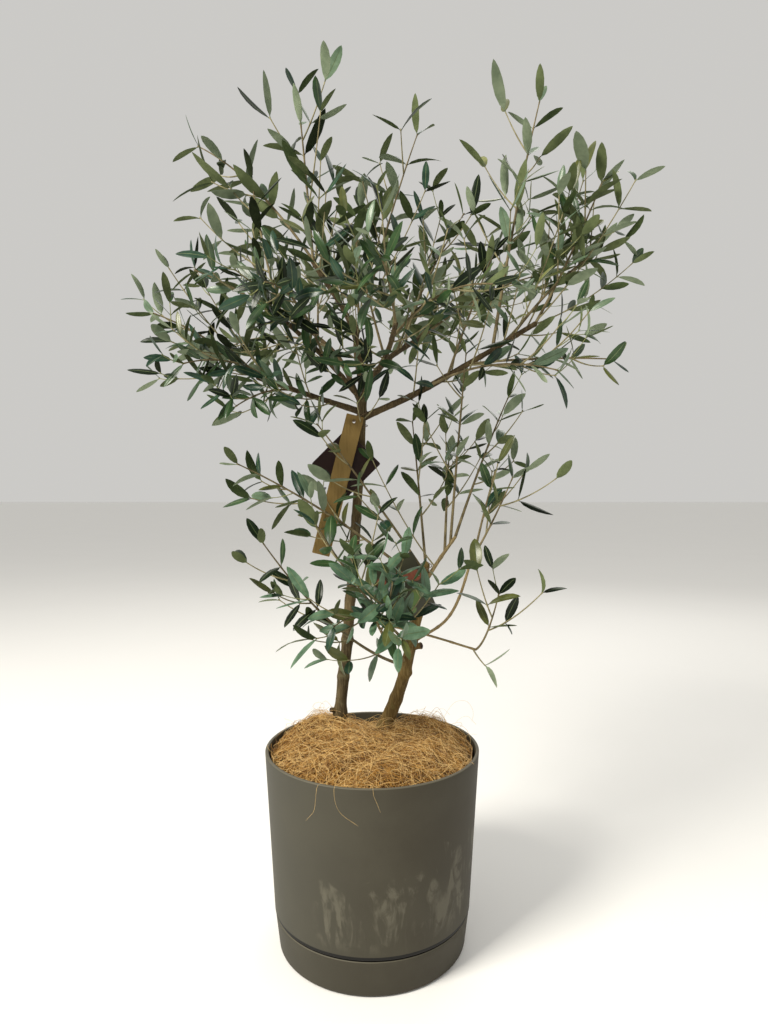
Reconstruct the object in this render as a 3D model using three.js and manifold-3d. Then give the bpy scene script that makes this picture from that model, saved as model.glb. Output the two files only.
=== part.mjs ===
// Potted olive tree: two leaning trunks in a tall round planter that stands in its saucer, under a loose
// crown of slender shoots with opposite leaves. Lengths are in millimetres. The origin is the centre of
// the saucer's flat underside, +Z is up and -Y is the front.
import * as THREE from "three";
import { mergeVertices } from "three/addons/utils/BufferGeometryUtils.js";
import Module from "manifold-3d";

const wasm = await Module();
wasm.setup();

const GAP = 0.3; // between two pieces that touch
const CUT = 0.35; // how much larger a limb is where its neighbour is cut clear of it

// Saucer and planter, both turned round the Z axis.
const SAUCER_RADIUS = 132.5;
const SAUCER_FOOT_RADIUS = 127.5;
const SAUCER_HEIGHT = 47.5;
const SAUCER_WALL = 4;
const SAUCER_CORNER = 5;
const POT_HEIGHT = 264;
const POT_RIM_RADIUS = 146;
const POT_SHOULDER_RADIUS = 133.5;
const POT_SHOULDER_HEIGHT = 51;
const POT_SHOULDER_EDGE = 2; // how far the shoulder's lower edge is rounded off
const POT_FOOT_RADIUS = 122;
const POT_WALL = 4.5;
const ROUND_SIDES = 40;

// Root ball and the coir mat that is mounded over it.
const SOIL_TOP = 244;
const COIR_EDGE_TOP = 253;
const COIR_CROWN = 24;
const COIR_LUMPS = { broad: 2.2, fine: 1.6 }; // heights of the mat's unevenness
// The hollow behind the trunks, and the heaps at the back on both sides and along the front.
const COIR_HEAPS = [
  { x: 22, y: 112, width: 56, depth: 48, rise: -15 },
  { x: -88, y: 62, width: 46, depth: 52, rise: 18 },
  { x: 92, y: 62, width: 44, depth: 50, rise: 18 },
  { x: 0, y: -130, width: 90, depth: 40, rise: 8 },
];
const COIR_SIDES = 30;
const COIR_RINGS = 6;
const COIR_CLEARANCE = 0.5;

// Trunks and boughs.
const TRUNK_SIDES = 8;
const TRUNK_STEPS = 14;
const TRUNK_FOOT = SOIL_TOP - 12; // below the flat cut at the top of the root ball
const BOUGH_SIDES = 6;
const BOUGH_STEP = 30;
const FLARE_HEIGHT = 34;

// Leaves, fewer and larger than life. Each grows from one face of a three-sided shoot, in pairs that turn
// a quarter from node to node. A spread is the whole width of a random range.
const LEAF_LENGTH = 74;
const LEAF_LEAST = 0.82; // the shortest leaf, as a share of the length
const LEAF_LENGTH_SPREAD = 0.36;
const LEAF_WIDTH = 19;
const LEAF_RIDGE = 1.1; // the midrib's height above the blade's edges
const LEAF_WIDEST = 0.44; // share of the length, from the root
const LEAF_ROOT = 3; // how much of the shoot's length a leaf's root takes up
const LEAF_ANGLE = 0.86; // radians between a leaf and its shoot
const LEAF_TIP_ANGLE = 0.6;
const LEAF_ANGLE_SPREAD = 0.3;
const LEAF_TURN_SPREAD = 0.4;
const LEAF_FACE_UP = 0.5; // how strongly a leaf turns its upper face to the sky
const LEAF_SPACING = 34;
const LEAF_GUARD = 0.8; // clearance kept round a leaf

// Side twigs, and the stems that carry them.
const TWIG_SPACING = 52;
const TWIG_ANGLE = 0.78;
const TWIG_ANGLE_SPREAD = 0.25;
const TWIG_TURN_SPREAD = 1.2;
const TWIG_LENGTH = 92;
const TWIG_LEAST = 0.75; // the shortest side twig, as a share of the length
const TWIG_LENGTH_SPREAD = 0.4;
const TWIG_SHORTENING = 0.5; // how much shorter the side twigs are at the stem's tip
const TWIG_RISE = 0.22; // how far a side twig turns up, as a share of its length
const TWIG_ARCH = -0.06;
const TWIG_BARE = 0.3; // share of a side twig, from its foot, with no leaves
const TWIG_RADII = [1.9, 1.5];
const STEM_TIP_RADIUS = 1.6;
const STEM_RADIUS_PER_LENGTH = 0.004;
const STEM_BARE = 0.3; // share of a stem, from its foot, with no side twigs
const STEM_LEAFLESS = 0.45;
const STEM_TWIGS_END = 0.9;
const STEM_RING_STEP = 48;
const SEED = 2214;

// Blank tags that hang on the trunks by a ring: an upright strip, a square card turned on a corner and
// a larger leaning card.
const TAG_THICKNESS = 1.2;
const TAG_RING_RADIUS = 1;
const STRIP = { finish: "board", size: [25, 200], turn: -0.247 };
const SQUARE = { finish: "card", size: [68.5, 68.5], turn: Math.PI / 4 };
const CARD = { finish: "card", size: [66, 84], turn: 0.42 };
const TAGS = [
  { name: "tag_strip", on: "trunk_left", ring: 706, centre: [-48, 17, 622], ...STRIP },
  { name: "tag_card_high", on: "trunk_left", ring: 677, centre: [-37, 22, 652], ...SQUARE },
  { name: "tag_card_low", on: "trunk_right", ring: 484, centre: [41, -12, 481], ...CARD },
];

const FINISHES = {
  pot: { color: 0x6a6b69, roughness: 0.62 },
  saucer: { color: 0x626361, roughness: 0.62 },
  soil: { color: 0x2e241b, roughness: 1 },
  coir: { color: 0xb98a4c, roughness: 0.95 },
  barkDark: { color: 0x6d5f50, roughness: 0.9 },
  barkPale: { color: 0x8b7558, roughness: 0.88 },
  foliage: { color: 0x4d6a4b, roughness: 0.5 },
  board: { color: 0xa37b45, roughness: 0.85 },
  card: { color: 0x3a221e, roughness: 0.55 },
};

// Trunks: name, bark, the points that the axis runs through, the radii at the foot and the tip, and how
// much wider the root flare is at the foot.
const TRUNKS = [
  {
    name: "trunk_left",
    bark: "barkDark",
    through: [[-54, 63, TRUNK_FOOT], [-33, 51, 450], [-18, 34, 660], [-13, 24, 764]],
    radii: [8.6, 5.9],
    flare: 4.5,
  },
  {
    name: "trunk_right",
    bark: "barkPale",
    through: [[-2, 40, TRUNK_FOOT], [36, 25, 328], [60, 8, 430], [73, -2, 512]],
    radii: [10.2, 6],
    flare: 4,
  },
];

// Boughs: name, what carries it and how far along, two more points of its axis, and its radii at the foot
// and the tip.
const BOUGHS = [
  ["bough_leader", "trunk_left", 1, [-27, 17, 838], [-79, -10, 921], [4.6, 3.2]],
  ["bough_right_back", "trunk_left", 0.985, [20, 72, 805], [80, 150, 859], [5, 3.4]],
  ["bough_centre", "trunk_left", 0.97, [-24, 52, 826], [-7, 78, 899], [4, 3]],
  ["bough_right", "trunk_left", 0.91, [66, 8, 751], [216, -22, 835], [4.8, 3.2]],
  ["bough_left", "trunk_left", 0.925, [-75, 10, 742], [-150, -30, 763], [4.2, 3]],
  ["bough_left_high", "trunk_left", 0.955, [-62, -22, 790], [-112, -58, 832], [3.8, 2.9]],
  ["bough_left_back", "trunk_left", 0.94, [-52, 84, 812], [-98, 136, 862], [3.8, 2.9]],
  ["bough_front", "trunk_left", 0.965, [20, -50, 792], [30, -120, 812], [3.8, 2.9]],
  ["bough_low_right", "trunk_right", 0.9, [92, -8, 522], [112, -15, 552], [3.8, 3]],
  ["bough_low_side", "trunk_right", 0.62, [104, -20, 446], [138, -42, 548], [2.9, 2.3]],
  ["bough_low_front", "trunk_right", 0.515, [22, -16, 408], [6, -36, 440], [3.2, 2.6]],
  ["bough_low_arc", "bough_low_front", 1, [70, -56, 428], [134, -62, 410], [2.2, 1.9]],
];

// Masses of foliage: name, the limb that carries the stem and how far along, where the stem's tip is, and
// how far the stem arches above the straight line to it, as a share of its length.
const MASSES = [
  { name: "foliage_top_leader", on: "bough_leader", at: 1, tip: [-98, -20, 1138], arch: 0.05 },
  { name: "foliage_left_top", on: "bough_leader", at: 0.6, tip: [-246, 40, 1098], arch: 0.1 },
  { name: "foliage_left_upper", on: "bough_left_high", at: 1, tip: [-167, 20, 1044], arch: -0.08 },
  { name: "foliage_left_mid", on: "bough_left_high", at: 0.66, tip: [-213, -106, 880], arch: 0.06 },
  { name: "foliage_left_far", on: "bough_left", at: 1, tip: [-278, -60, 840], arch: 0.06 },
  { name: "foliage_left_low", on: "bough_left", at: 0.8, tip: [-232, -92, 770], arch: 0.12 },
  { name: "foliage_left_droop", on: "bough_left", at: 0.55, tip: [-176, -52, 722], arch: 0.12 },
  { name: "foliage_left_back", on: "bough_left_back", at: 1, tip: [-200, 160, 985], arch: -0.06 },
  { name: "foliage_left_back_low", on: "bough_left_back", at: 0.7, tip: [-240, 160, 838], arch: 0.1 },
  { name: "foliage_back_left", on: "bough_left_back", at: 0.88, tip: [-96, 246, 1000], arch: -0.04 },
  { name: "foliage_front_left", on: "bough_left_high", at: 0.55, tip: [-112, -200, 838], arch: 0.12 },
  { name: "foliage_front_centre", on: "bough_front", at: 1, tip: [12, -240, 852], arch: 0.1 },
  { name: "foliage_front_right", on: "bough_front", at: 0.78, tip: [132, -205, 834], arch: 0.12 },
  { name: "foliage_centre_front", on: "bough_front", at: 0.5, tip: [-20, -95, 925], arch: -0.04 },
  { name: "foliage_centre_tall", on: "bough_centre", at: 1, tip: [64, 58, 1124], arch: 0.04 },
  { name: "foliage_centre_back", on: "bough_centre", at: 0.7, tip: [-36, 170, 1040], arch: 0.04 },
  { name: "foliage_centre_right", on: "bough_right_back", at: 0.55, tip: [132, 66, 1015], arch: 0.06 },
  { name: "foliage_right_tall", on: "bough_right", at: 0.76, tip: [226, 2, 1140], arch: 0.05 },
  { name: "foliage_right_top", on: "bough_right", at: 1, tip: [300, -34, 1016], arch: -0.04 },
  { name: "foliage_right_far", on: "bough_right", at: 0.86, tip: [334, -22, 946], arch: 0.1 },
  { name: "foliage_right_low", on: "bough_right", at: 0.62, tip: [304, -70, 780], arch: 0.02 },
  { name: "foliage_right_low_front", on: "bough_right", at: 0.4, tip: [216, -150, 752], arch: 0.08 },
  { name: "foliage_right_mid", on: "bough_right", at: 0.5, tip: [150, -100, 905], arch: 0.02 },
  { name: "foliage_right_back", on: "bough_right_back", at: 1, tip: [292, 160, 960], arch: 0.08 },
  { name: "foliage_back_right", on: "bough_right_back", at: 0.82, tip: [196, 262, 960], arch: 0.05 },
  { name: "foliage_back_centre", on: "bough_right_back", at: 0.7, tip: [62, 276, 960], arch: 0.06 },
  { name: "foliage_low_left_high", on: "trunk_right", at: 0.965, tip: [-70, -60, 700], arch: 0.02 },
  { name: "foliage_low_left_mid", on: "trunk_right", at: 0.91, tip: [-178, -34, 650], arch: 0.04 },
  { name: "foliage_low_left_low", on: "trunk_right", at: 0.5, tip: [-136, -84, 550], arch: -0.1 },
  { name: "foliage_low_left_front", on: "trunk_right", at: 0.6, tip: [-66, -120, 574], arch: -0.04 },
  { name: "foliage_low_front", on: "bough_low_front", at: 0.97, tip: [-44, -128, 452], arch: 0.1 },
  { name: "foliage_low_front_up", on: "bough_low_front", at: 0.85, tip: [26, -146, 508], arch: -0.08 },
  { name: "foliage_low_right_hang", on: "bough_low_arc", at: 1, tip: [160, -84, 486], arch: -0.16 },
  { name: "foliage_low_right_up", on: "bough_low_side", at: 1, tip: [158, -62, 640], arch: 0.02 },
  { name: "foliage_low_right_far", on: "bough_low_side", at: 0.85, tip: [180, -66, 632], arch: -0.04 },
  { name: "foliage_low_right_long", on: "bough_low_right", at: 1, tip: [196, 60, 750], arch: 0.03 },
  { name: "foliage_low_tall", on: "bough_low_right", at: 0.86, tip: [127, -6, 801], arch: 0.03 },
  { name: "foliage_low_back", on: "bough_low_right", at: 0.7, tip: [119, 150, 682], arch: 0.04 },
  { name: "foliage_low_mid", on: "trunk_right", at: 1, tip: [58, 84, 718], arch: 0.02 },
];

const UP = new THREE.Vector3(0, 0, 1);
const vector = ([x, y, z]) => new THREE.Vector3(x, y, z);
const mix = THREE.MathUtils.lerp;

/** A closed geometry as a solid that can be joined and cut. */
function solidOf(geometry) {
  const bare = geometry.clone();
  bare.deleteAttribute("normal");
  bare.deleteAttribute("uv");
  const merged = mergeVertices(bare, 1e-4);
  return new wasm.Manifold(
    new wasm.Mesh({
      numProp: 3,
      vertProperties: merged.attributes.position.array,
      triVerts: new Uint32Array(merged.index.array),
    }),
  );
}

/** A solid as a geometry with flat faces. */
function geometryOf(solid) {
  const mesh = solid.getMesh();
  const geometry = new THREE.BufferGeometry();
  geometry.setAttribute("position", new THREE.BufferAttribute(new Float32Array(mesh.vertProperties), 3));
  geometry.setIndex(new THREE.BufferAttribute(new Uint32Array(mesh.triVerts), 1));
  const flat = geometry.toNonIndexed();
  flat.computeVertexNormals();
  return flat;
}

/** A geometry from a list of points and the triangles between them. */
function meshOf(points, triangles) {
  const geometry = new THREE.BufferGeometry();
  const numbers = points.flatMap((point) => point.toArray());
  geometry.setAttribute("position", new THREE.Float32BufferAttribute(numbers, 3));
  geometry.setIndex(triangles.flat());
  return geometry;
}

/** The largest body of a solid, without loose scraps. */
function largest(solid) {
  return solid.decompose().reduce((best, body) => (body.volume() > best.volume() ? body : best));
}

/** Numbers from 0 to 1 that are the same for the same seed. */
function randomStream(seed) {
  let state = seed >>> 0;
  return () => {
    state = (state + 0x6d2b79f5) >>> 0;
    let mixed = Math.imul(state ^ (state >>> 15), state | 1);
    mixed ^= mixed + Math.imul(mixed ^ (mixed >>> 7), mixed | 61);
    return ((mixed ^ (mixed >>> 14)) >>> 0) / 4294967296;
  };
}

/** Places along a curve, each with its tangent and two directions square to it, carried without twist. */
function framesAlong(curve, shares) {
  const first = curve.getTangentAt(0);
  let level = new THREE.Vector3().crossVectors(first, UP);
  if (level.lengthSq() < 1e-3) level = new THREE.Vector3(1, 0, 0);
  return shares.map((share) => {
    const tangent = curve.getTangentAt(share);
    level = level.clone().addScaledVector(tangent, -level.dot(tangent)).normalize();
    return { place: curve.getPointAt(share), tangent, level, above: tangent.clone().cross(level) };
  });
}

/** The unit direction at an angle round a frame's tangent. */
function around(frame, angle) {
  const sideways = frame.level.clone().multiplyScalar(Math.cos(angle));
  return sideways.addScaledVector(frame.above, Math.sin(angle));
}

/** A ring of points round a frame. */
function ringOf(frame, radius, sides, phase) {
  return Array.from({ length: sides }, (_, k) => {
    const direction = around(frame, phase + (2 * Math.PI * k) / sides);
    return frame.place.clone().addScaledVector(direction, radius);
  });
}

/** The triangles of a closed tube of rings, where `leafAt(i, k)` may replace the face after ring i. */
function tubeTriangles(ringCount, sides, leafAt = () => null) {
  const at = (i, k) => i * sides + (k % sides);
  const triangles = [];
  for (let i = 0; i < ringCount - 1; i++) {
    for (let k = 0; k < sides; k++) {
      const corners = [at(i, k), at(i, k + 1), at(i + 1, k + 1), at(i + 1, k)];
      const leaf = leafAt(i, k, corners);
      if (leaf) triangles.push(...leaf);
      else triangles.push([corners[0], corners[1], corners[2]], [corners[0], corners[2], corners[3]]);
    }
  }
  const last = ringCount - 1;
  for (let k = 1; k < sides - 1; k++) {
    triangles.push([at(0, 0), at(0, k + 1), at(0, k)], [at(last, 0), at(last, k), at(last, k + 1)]);
  }
  return triangles;
}

const root = new THREE.Group();

/** Adds a named mesh with its own material to the tree. */
function addMesh(name, geometry, finish) {
  const mesh = new THREE.Mesh(geometry, new THREE.MeshStandardMaterial({ metalness: 0, ...finish }));
  mesh.name = name;
  root.add(mesh);
}

/** A turned piece from its profile of [radius, height] points, which starts and ends on the axis. */
function turned(profile) {
  const points = profile.map(([radius, height]) => new THREE.Vector2(radius, height));
  return new THREE.LatheGeometry(points, ROUND_SIDES).rotateX(Math.PI / 2);
}

/** Points on an arc in a profile, between two angles given in quarter turns. */
function arc(centreRadius, centreHeight, radius, from, to, steps) {
  return Array.from({ length: steps + 1 }, (_, i) => {
    const angle = (Math.PI / 2) * mix(from, to, i / steps);
    return [centreRadius + radius * Math.cos(angle), centreHeight + radius * Math.sin(angle)];
  });
}

function saucerGeometry() {
  const lip = SAUCER_WALL / 2;
  return turned([
    [0, 0],
    ...arc(SAUCER_FOOT_RADIUS - SAUCER_CORNER, SAUCER_CORNER, SAUCER_CORNER, -1, 0, 2),
    ...arc(SAUCER_RADIUS - lip, SAUCER_HEIGHT - lip, lip, 0, 2, 3),
    [SAUCER_FOOT_RADIUS - SAUCER_WALL, SAUCER_WALL],
    [0, SAUCER_WALL],
  ]);
}

function potGeometry() {
  const foot = SAUCER_WALL + GAP;
  const lip = POT_WALL / 2;
  const under = POT_SHOULDER_HEIGHT - POT_SHOULDER_EDGE;
  return turned([
    [0, foot],
    [POT_FOOT_RADIUS, foot],
    [POT_FOOT_RADIUS, under - 1],
    [POT_SHOULDER_RADIUS - POT_SHOULDER_EDGE, under],
    [POT_SHOULDER_RADIUS, POT_SHOULDER_HEIGHT + 1],
    ...arc(POT_RIM_RADIUS - lip, POT_HEIGHT - lip, lip, 0, 2, 3),
    [POT_SHOULDER_RADIUS - POT_WALL, POT_SHOULDER_HEIGHT + POT_WALL],
    [POT_FOOT_RADIUS - POT_WALL, POT_SHOULDER_HEIGHT - POT_WALL],
    [POT_FOOT_RADIUS - POT_WALL, foot + POT_WALL],
    [0, foot + POT_WALL],
  ]);
}

/** The planter's inner radius at a height above its shoulder. */
function potInside(height) {
  const low = POT_SHOULDER_HEIGHT + POT_WALL;
  const share = (height - low) / (POT_HEIGHT - POT_WALL / 2 - low);
  return mix(POT_SHOULDER_RADIUS, POT_RIM_RADIUS, share) - POT_WALL;
}

/** The root ball, which fills the planter up to the mat and keeps 1 mm from its wall. */
function soilGeometry() {
  const floor = SAUCER_WALL + GAP + POT_WALL + GAP;
  const foot = POT_FOOT_RADIUS - POT_WALL - GAP;
  const shoulder = POT_SHOULDER_HEIGHT + POT_WALL + 1;
  return turned([
    [0, floor],
    [foot, floor],
    [foot, POT_SHOULDER_HEIGHT - POT_WALL],
    [potInside(shoulder) - 2, shoulder],
    [potInside(SOIL_TOP) - 1, SOIL_TOP],
    [0, SOIL_TOP],
  ]);
}

/** Height of the coir mat at a point: a low lumpy dome with a hollow and heaps, each a bell curve. */
function coirHeight(x, y) {
  const radius = Math.hypot(x, y) / POT_RIM_RADIUS;
  const broad = COIR_LUMPS.broad * Math.sin(x / 23 + 1.1) * Math.cos(y / 27 - 0.4);
  const fine = COIR_LUMPS.fine * Math.sin(x / 13 - y / 17);
  let height = COIR_EDGE_TOP + COIR_CROWN * (1 - radius ** 3) + broad + fine;
  for (const heap of COIR_HEAPS) {
    const [along, across] = [(x - heap.x) / heap.width, (y - heap.y) / heap.depth];
    height += heap.rise * Math.exp(-(along ** 2) - across ** 2);
  }
  return height;
}

/** The coir mat: rings of points under the dome, closed by a flat underside on the root ball. */
function coirGeometry() {
  const outer = potInside(SOIL_TOP) - 1;
  const bottom = SOIL_TOP + GAP;
  const points = [new THREE.Vector3(0, 0, coirHeight(0, 0))];
  for (let i = 1; i <= COIR_RINGS + 1; i++) {
    const radius = outer * Math.min(i / COIR_RINGS, 1);
    for (let k = 0; k < COIR_SIDES; k++) {
      const angle = (2 * Math.PI * k) / COIR_SIDES;
      const [x, y] = [radius * Math.cos(angle), radius * Math.sin(angle)];
      points.push(new THREE.Vector3(x, y, i > COIR_RINGS ? bottom : coirHeight(x, y)));
    }
  }
  points.push(new THREE.Vector3(0, 0, bottom));
  const at = (i, k) => 1 + (i - 1) * COIR_SIDES + (k % COIR_SIDES);
  const triangles = [];
  for (let k = 0; k < COIR_SIDES; k++) {
    triangles.push([0, at(1, k), at(1, k + 1)]);
    for (let i = 1; i <= COIR_RINGS; i++) {
      triangles.push([at(i, k), at(i + 1, k), at(i + 1, k + 1)], [at(i, k), at(i + 1, k + 1), at(i, k + 1)]);
    }
    triangles.push([points.length - 1, at(COIR_RINGS + 1, k + 1), at(COIR_RINGS + 1, k)]);
  }
  return meshOf(points, triangles);
}

addMesh("saucer", saucerGeometry(), FINISHES.saucer);
addMesh("pot", potGeometry(), FINISHES.pot);
addMesh("root_ball", soilGeometry(), FINISHES.soil);

// Limbs, from the trunks outwards. Each is cut clear of the ones before it.
const limbs = new Map();

/** A limb's tapering tube, thicker all round and longer at its tip by `clear`. */
function limbSolid(limb, clear = 0) {
  const steps = limb.on ? Math.max(3, Math.round(limb.length / BOUGH_STEP)) : TRUNK_STEPS;
  const sides = limb.on ? BOUGH_SIDES : TRUNK_SIDES;
  const shares = Array.from({ length: steps + 1 }, (_, i) => i / steps);
  const frames = framesAlong(limb.curve, shares);
  frames[steps].place.addScaledVector(frames[steps].tangent, clear);
  const rings = frames.map((frame, i) => {
    const swell = limb.flare * Math.exp((-shares[i] * limb.length) / FLARE_HEIGHT);
    return ringOf(frame, mix(...limb.radii, shares[i]) + swell + clear, sides, 0);
  });
  return solidOf(meshOf(rings.flat(), tubeTriangles(steps + 1, sides)));
}

/** Adds a trunk or bough: its axis, its body cut clear of the others, and the cutter for later pieces. */
function addLimb(row, points) {
  const curve = new THREE.CatmullRomCurve3(points);
  const limb = { ...row, curve, length: curve.getLength() };
  let body = limbSolid(limb);
  if (!row.on) body = body.trimByPlane(UP.toArray(), SOIL_TOP + GAP);
  for (const other of limbs.values()) body = body.subtract(other.cutter);
  limb.body = largest(body);
  limb.cutter = limbSolid(limb, CUT);
  limbs.set(row.name, limb);
  addMesh(row.name, geometryOf(limb.body), FINISHES[row.bark]);
}

for (const row of TRUNKS) addLimb(row, row.through.map(vector));
for (const [name, on, at, middle, tip, radii] of BOUGHS) {
  const foot = limbs.get(on).curve.getPointAt(at);
  addLimb({ name, on, radii, flare: 0, bark: "barkPale" }, [foot, vector(middle), vector(tip)]);
}

let coir = solidOf(coirGeometry());
for (const { name } of TRUNKS) coir = coir.subtract(limbSolid(limbs.get(name), COIR_CLEARANCE));
coir = largest(coir);
addMesh("coir_mulch", geometryOf(coir), FINISHES.coir);

/** Where a limb's axis passes a height, and its radius there. */
function limbAtHeight(limb, height) {
  let [low, high] = [0, 1];
  while (high - low > 1e-4) {
    const middle = (low + high) / 2;
    if (limb.curve.getPointAt(middle).z < height) low = middle;
    else high = middle;
  }
  return { place: limb.curve.getPointAt(low), radius: mix(...limb.radii, low) };
}

/** A tag: a thin plate hung in front of a trunk, joined to a ring that lies on the trunk's back. */
function tagSolid(tag) {
  const { place, radius } = limbAtHeight(limbs.get(tag.on), tag.ring);
  const back = place.y + radius + GAP;
  const front = tag.centre[1] + TAG_THICKNESS / 4 + 2 * TAG_RING_RADIUS;
  const ringRadius = (back - front) / 2 + TAG_RING_RADIUS;
  const ring = new THREE.TorusGeometry(ringRadius, TAG_RING_RADIUS, 4, 12);
  ring.translate(place.x, (back + front) / 2, tag.ring);
  const plate = new THREE.BoxGeometry(tag.size[0], TAG_THICKNESS, tag.size[1]);
  plate.rotateY(-tag.turn).translate(...tag.centre);
  return solidOf(plate).add(solidOf(ring));
}

const tagBodies = TAGS.map(tagSolid);
TAGS.forEach((tag, i) => addMesh(tag.name, geometryOf(tagBodies[i]), FINISHES[tag.finish]));

/** A leaf of the pair at a frame of its shoot, `turn` round it and opened from it by `angle`. */
function leafFrom(frame, turn, angle, length) {
  const direction = frame.tangent.clone().multiplyScalar(Math.cos(angle));
  direction.addScaledVector(around(frame, turn), Math.sin(angle)).normalize();
  const face = frame.tangent.clone().addScaledVector(direction, -frame.tangent.dot(direction));
  face.normalize().addScaledVector(UP, LEAF_FACE_UP);
  face.addScaledVector(direction, -face.dot(direction)).normalize();
  return { foot: frame.place, direction, face, across: face.clone().cross(direction), length };
}

/** The pairs of leaves on a shoot: each pair turns a quarter from the last, and one is at the tip. */
function leafNodes(curve, length, bare, random) {
  const count = Math.max(1, Math.round((length * (1 - bare)) / LEAF_SPACING));
  const last = 1 - (0.8 * LEAF_ROOT) / length;
  const first = count === 1 ? last : bare;
  const shares = Array.from({ length: count }, (_, i) => mix(first, last, i / Math.max(1, count - 1)));
  const start = Math.PI * random();
  return framesAlong(curve, shares).map((frame, i) => {
    const turn = start + (i * Math.PI) / 2 + LEAF_TURN_SPREAD * (random() - 0.5);
    const leaves = [0, Math.PI].map((half) => {
      const opened = i === count - 1 ? LEAF_TIP_ANGLE : LEAF_ANGLE;
      const angle = opened + LEAF_ANGLE_SPREAD * (random() - 0.5);
      return leafFrom(frame, turn + half, angle, LEAF_LENGTH * (LEAF_LEAST + LEAF_LENGTH_SPREAD * random()));
    });
    return { share: shares[i], turn, leaves };
  });
}

/** A leaf's left edge, right edge, midrib and tip. */
function leafCorners({ foot, direction, face, across, length }) {
  const half = (0.5 * LEAF_WIDTH * length) / LEAF_LENGTH;
  const middle = foot.clone().addScaledVector(direction, LEAF_WIDEST * length);
  return [
    middle.clone().addScaledVector(across, -half),
    middle.clone().addScaledVector(across, half),
    middle.clone().addScaledVector(face, LEAF_RIDGE),
    foot.clone().addScaledVector(direction, length),
  ];
}

/** A leaf's ten triangles on the four corners of its root, with its edges, midrib and tip. */
function leafTriangles([lowLeft, lowRight, highRight, highLeft], [left, right, ridge, tip], under = null) {
  const upper = [
    [highLeft, ridge, highRight], [highLeft, left, ridge], [highRight, ridge, right],
    [ridge, left, tip], [ridge, tip, right],
  ];
  const ends = [[lowLeft, left, highLeft], [lowRight, highRight, right]];
  const flat = [[lowLeft, lowRight, tip], [lowLeft, tip, left], [lowRight, right, tip]];
  const keeled = [
    [lowLeft, lowRight, under], [lowLeft, under, left], [lowRight, right, under],
    [under, tip, left], [under, right, tip],
  ];
  return [...upper, ...ends, ...(under ? keeled : flat)];
}

/** A loose blade a little larger than a leaf, from `start` along it, to test whether the leaf has room. */
function leafGuard({ foot, direction, face, across, length }, start) {
  const at = (along, side, up) => {
    const point = foot.clone().addScaledVector(direction, along);
    return point.addScaledVector(across, side).addScaledVector(face, up);
  };
  const half = (0.5 * LEAF_WIDTH * length) / LEAF_LENGTH + 2 * LEAF_GUARD;
  const rootHalf = LEAF_ROOT / 2 + GAP;
  const widest = LEAF_WIDEST * length;
  const points = [
    at(start, -rootHalf, -rootHalf), at(start, rootHalf, -rootHalf),
    at(start, rootHalf, rootHalf), at(start, -rootHalf, rootHalf),
    at(widest, -half, 0), at(widest, half, 0), at(widest, 0, LEAF_RIDGE + LEAF_GUARD),
    at(length + LEAF_GUARD, 0, 0), at(widest, 0, -LEAF_GUARD),
  ];
  const cap = [[0, 3, 2], [0, 2, 1]];
  return solidOf(meshOf(points, [...cap, ...leafTriangles([0, 1, 2, 3], [4, 5, 6, 7], 8)]));
}

/** The rings of a shoot: one at its foot, two at each pair of leaves, and more along bare stretches. */
function shootRings(nodes, length) {
  const half = (0.5 * LEAF_ROOT) / length;
  const phaseOf = (node) => node.turn - Math.PI / 6;
  const rings = [{ share: 0, phase: phaseOf(nodes[0]) }];
  for (const node of nodes) {
    const before = rings[rings.length - 1];
    const between = Math.floor(((node.share - before.share) * length) / STEM_RING_STEP);
    for (let i = 1; i <= between; i++) {
      rings.push({ share: mix(before.share, node.share, i / (between + 1)), phase: before.phase });
    }
    rings.push({ share: node.share - half, phase: phaseOf(node), node });
    rings.push({ share: Math.min(node.share + half, 1), phase: phaseOf(node) });
  }
  return rings;
}

/** A shoot with its leaves as one closed body, each leaf drawn out of a face of the three-sided tube. */
function shootSolid({ curve, length, radii, nodes }, clear = 0) {
  const third = (2 * Math.PI) / 3;
  const rings = shootRings(nodes, length);
  const frames = framesAlong(curve, rings.map((ring) => ring.share));
  let phase = rings[0].phase;
  const points = rings.flatMap((ring, i) => {
    phase = ring.phase + third * Math.round((phase - ring.phase) / third);
    ring.shift = Math.round((phase - ring.phase) / third);
    return ringOf(frames[i], mix(...radii, ring.share) + clear, 3, phase);
  });
  const leafAt = (i, k, corners) => {
    const { node, shift } = rings[i];
    const leaf = node && !clear && node.leaves[(((k + shift) % 3) + 3) % 3];
    if (!leaf || !leaf.kept) return null;
    const first = points.length;
    points.push(...leafCorners(leaf));
    return leafTriangles(corners, [first, first + 1, first + 2, first + 3]);
  };
  const triangles = tubeTriangles(rings.length, 3, leafAt);
  return solidOf(meshOf(points, triangles));
}

/** A shoot's curve from foot to tip, arched up by a share of its length. */
function shootCurve(foot, tip, arch) {
  const middle = foot.clone().lerp(tip, 0.5).addScaledVector(UP, 2 * arch * foot.distanceTo(tip));
  return new THREE.QuadraticBezierCurve3(foot, middle, tip);
}

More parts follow.
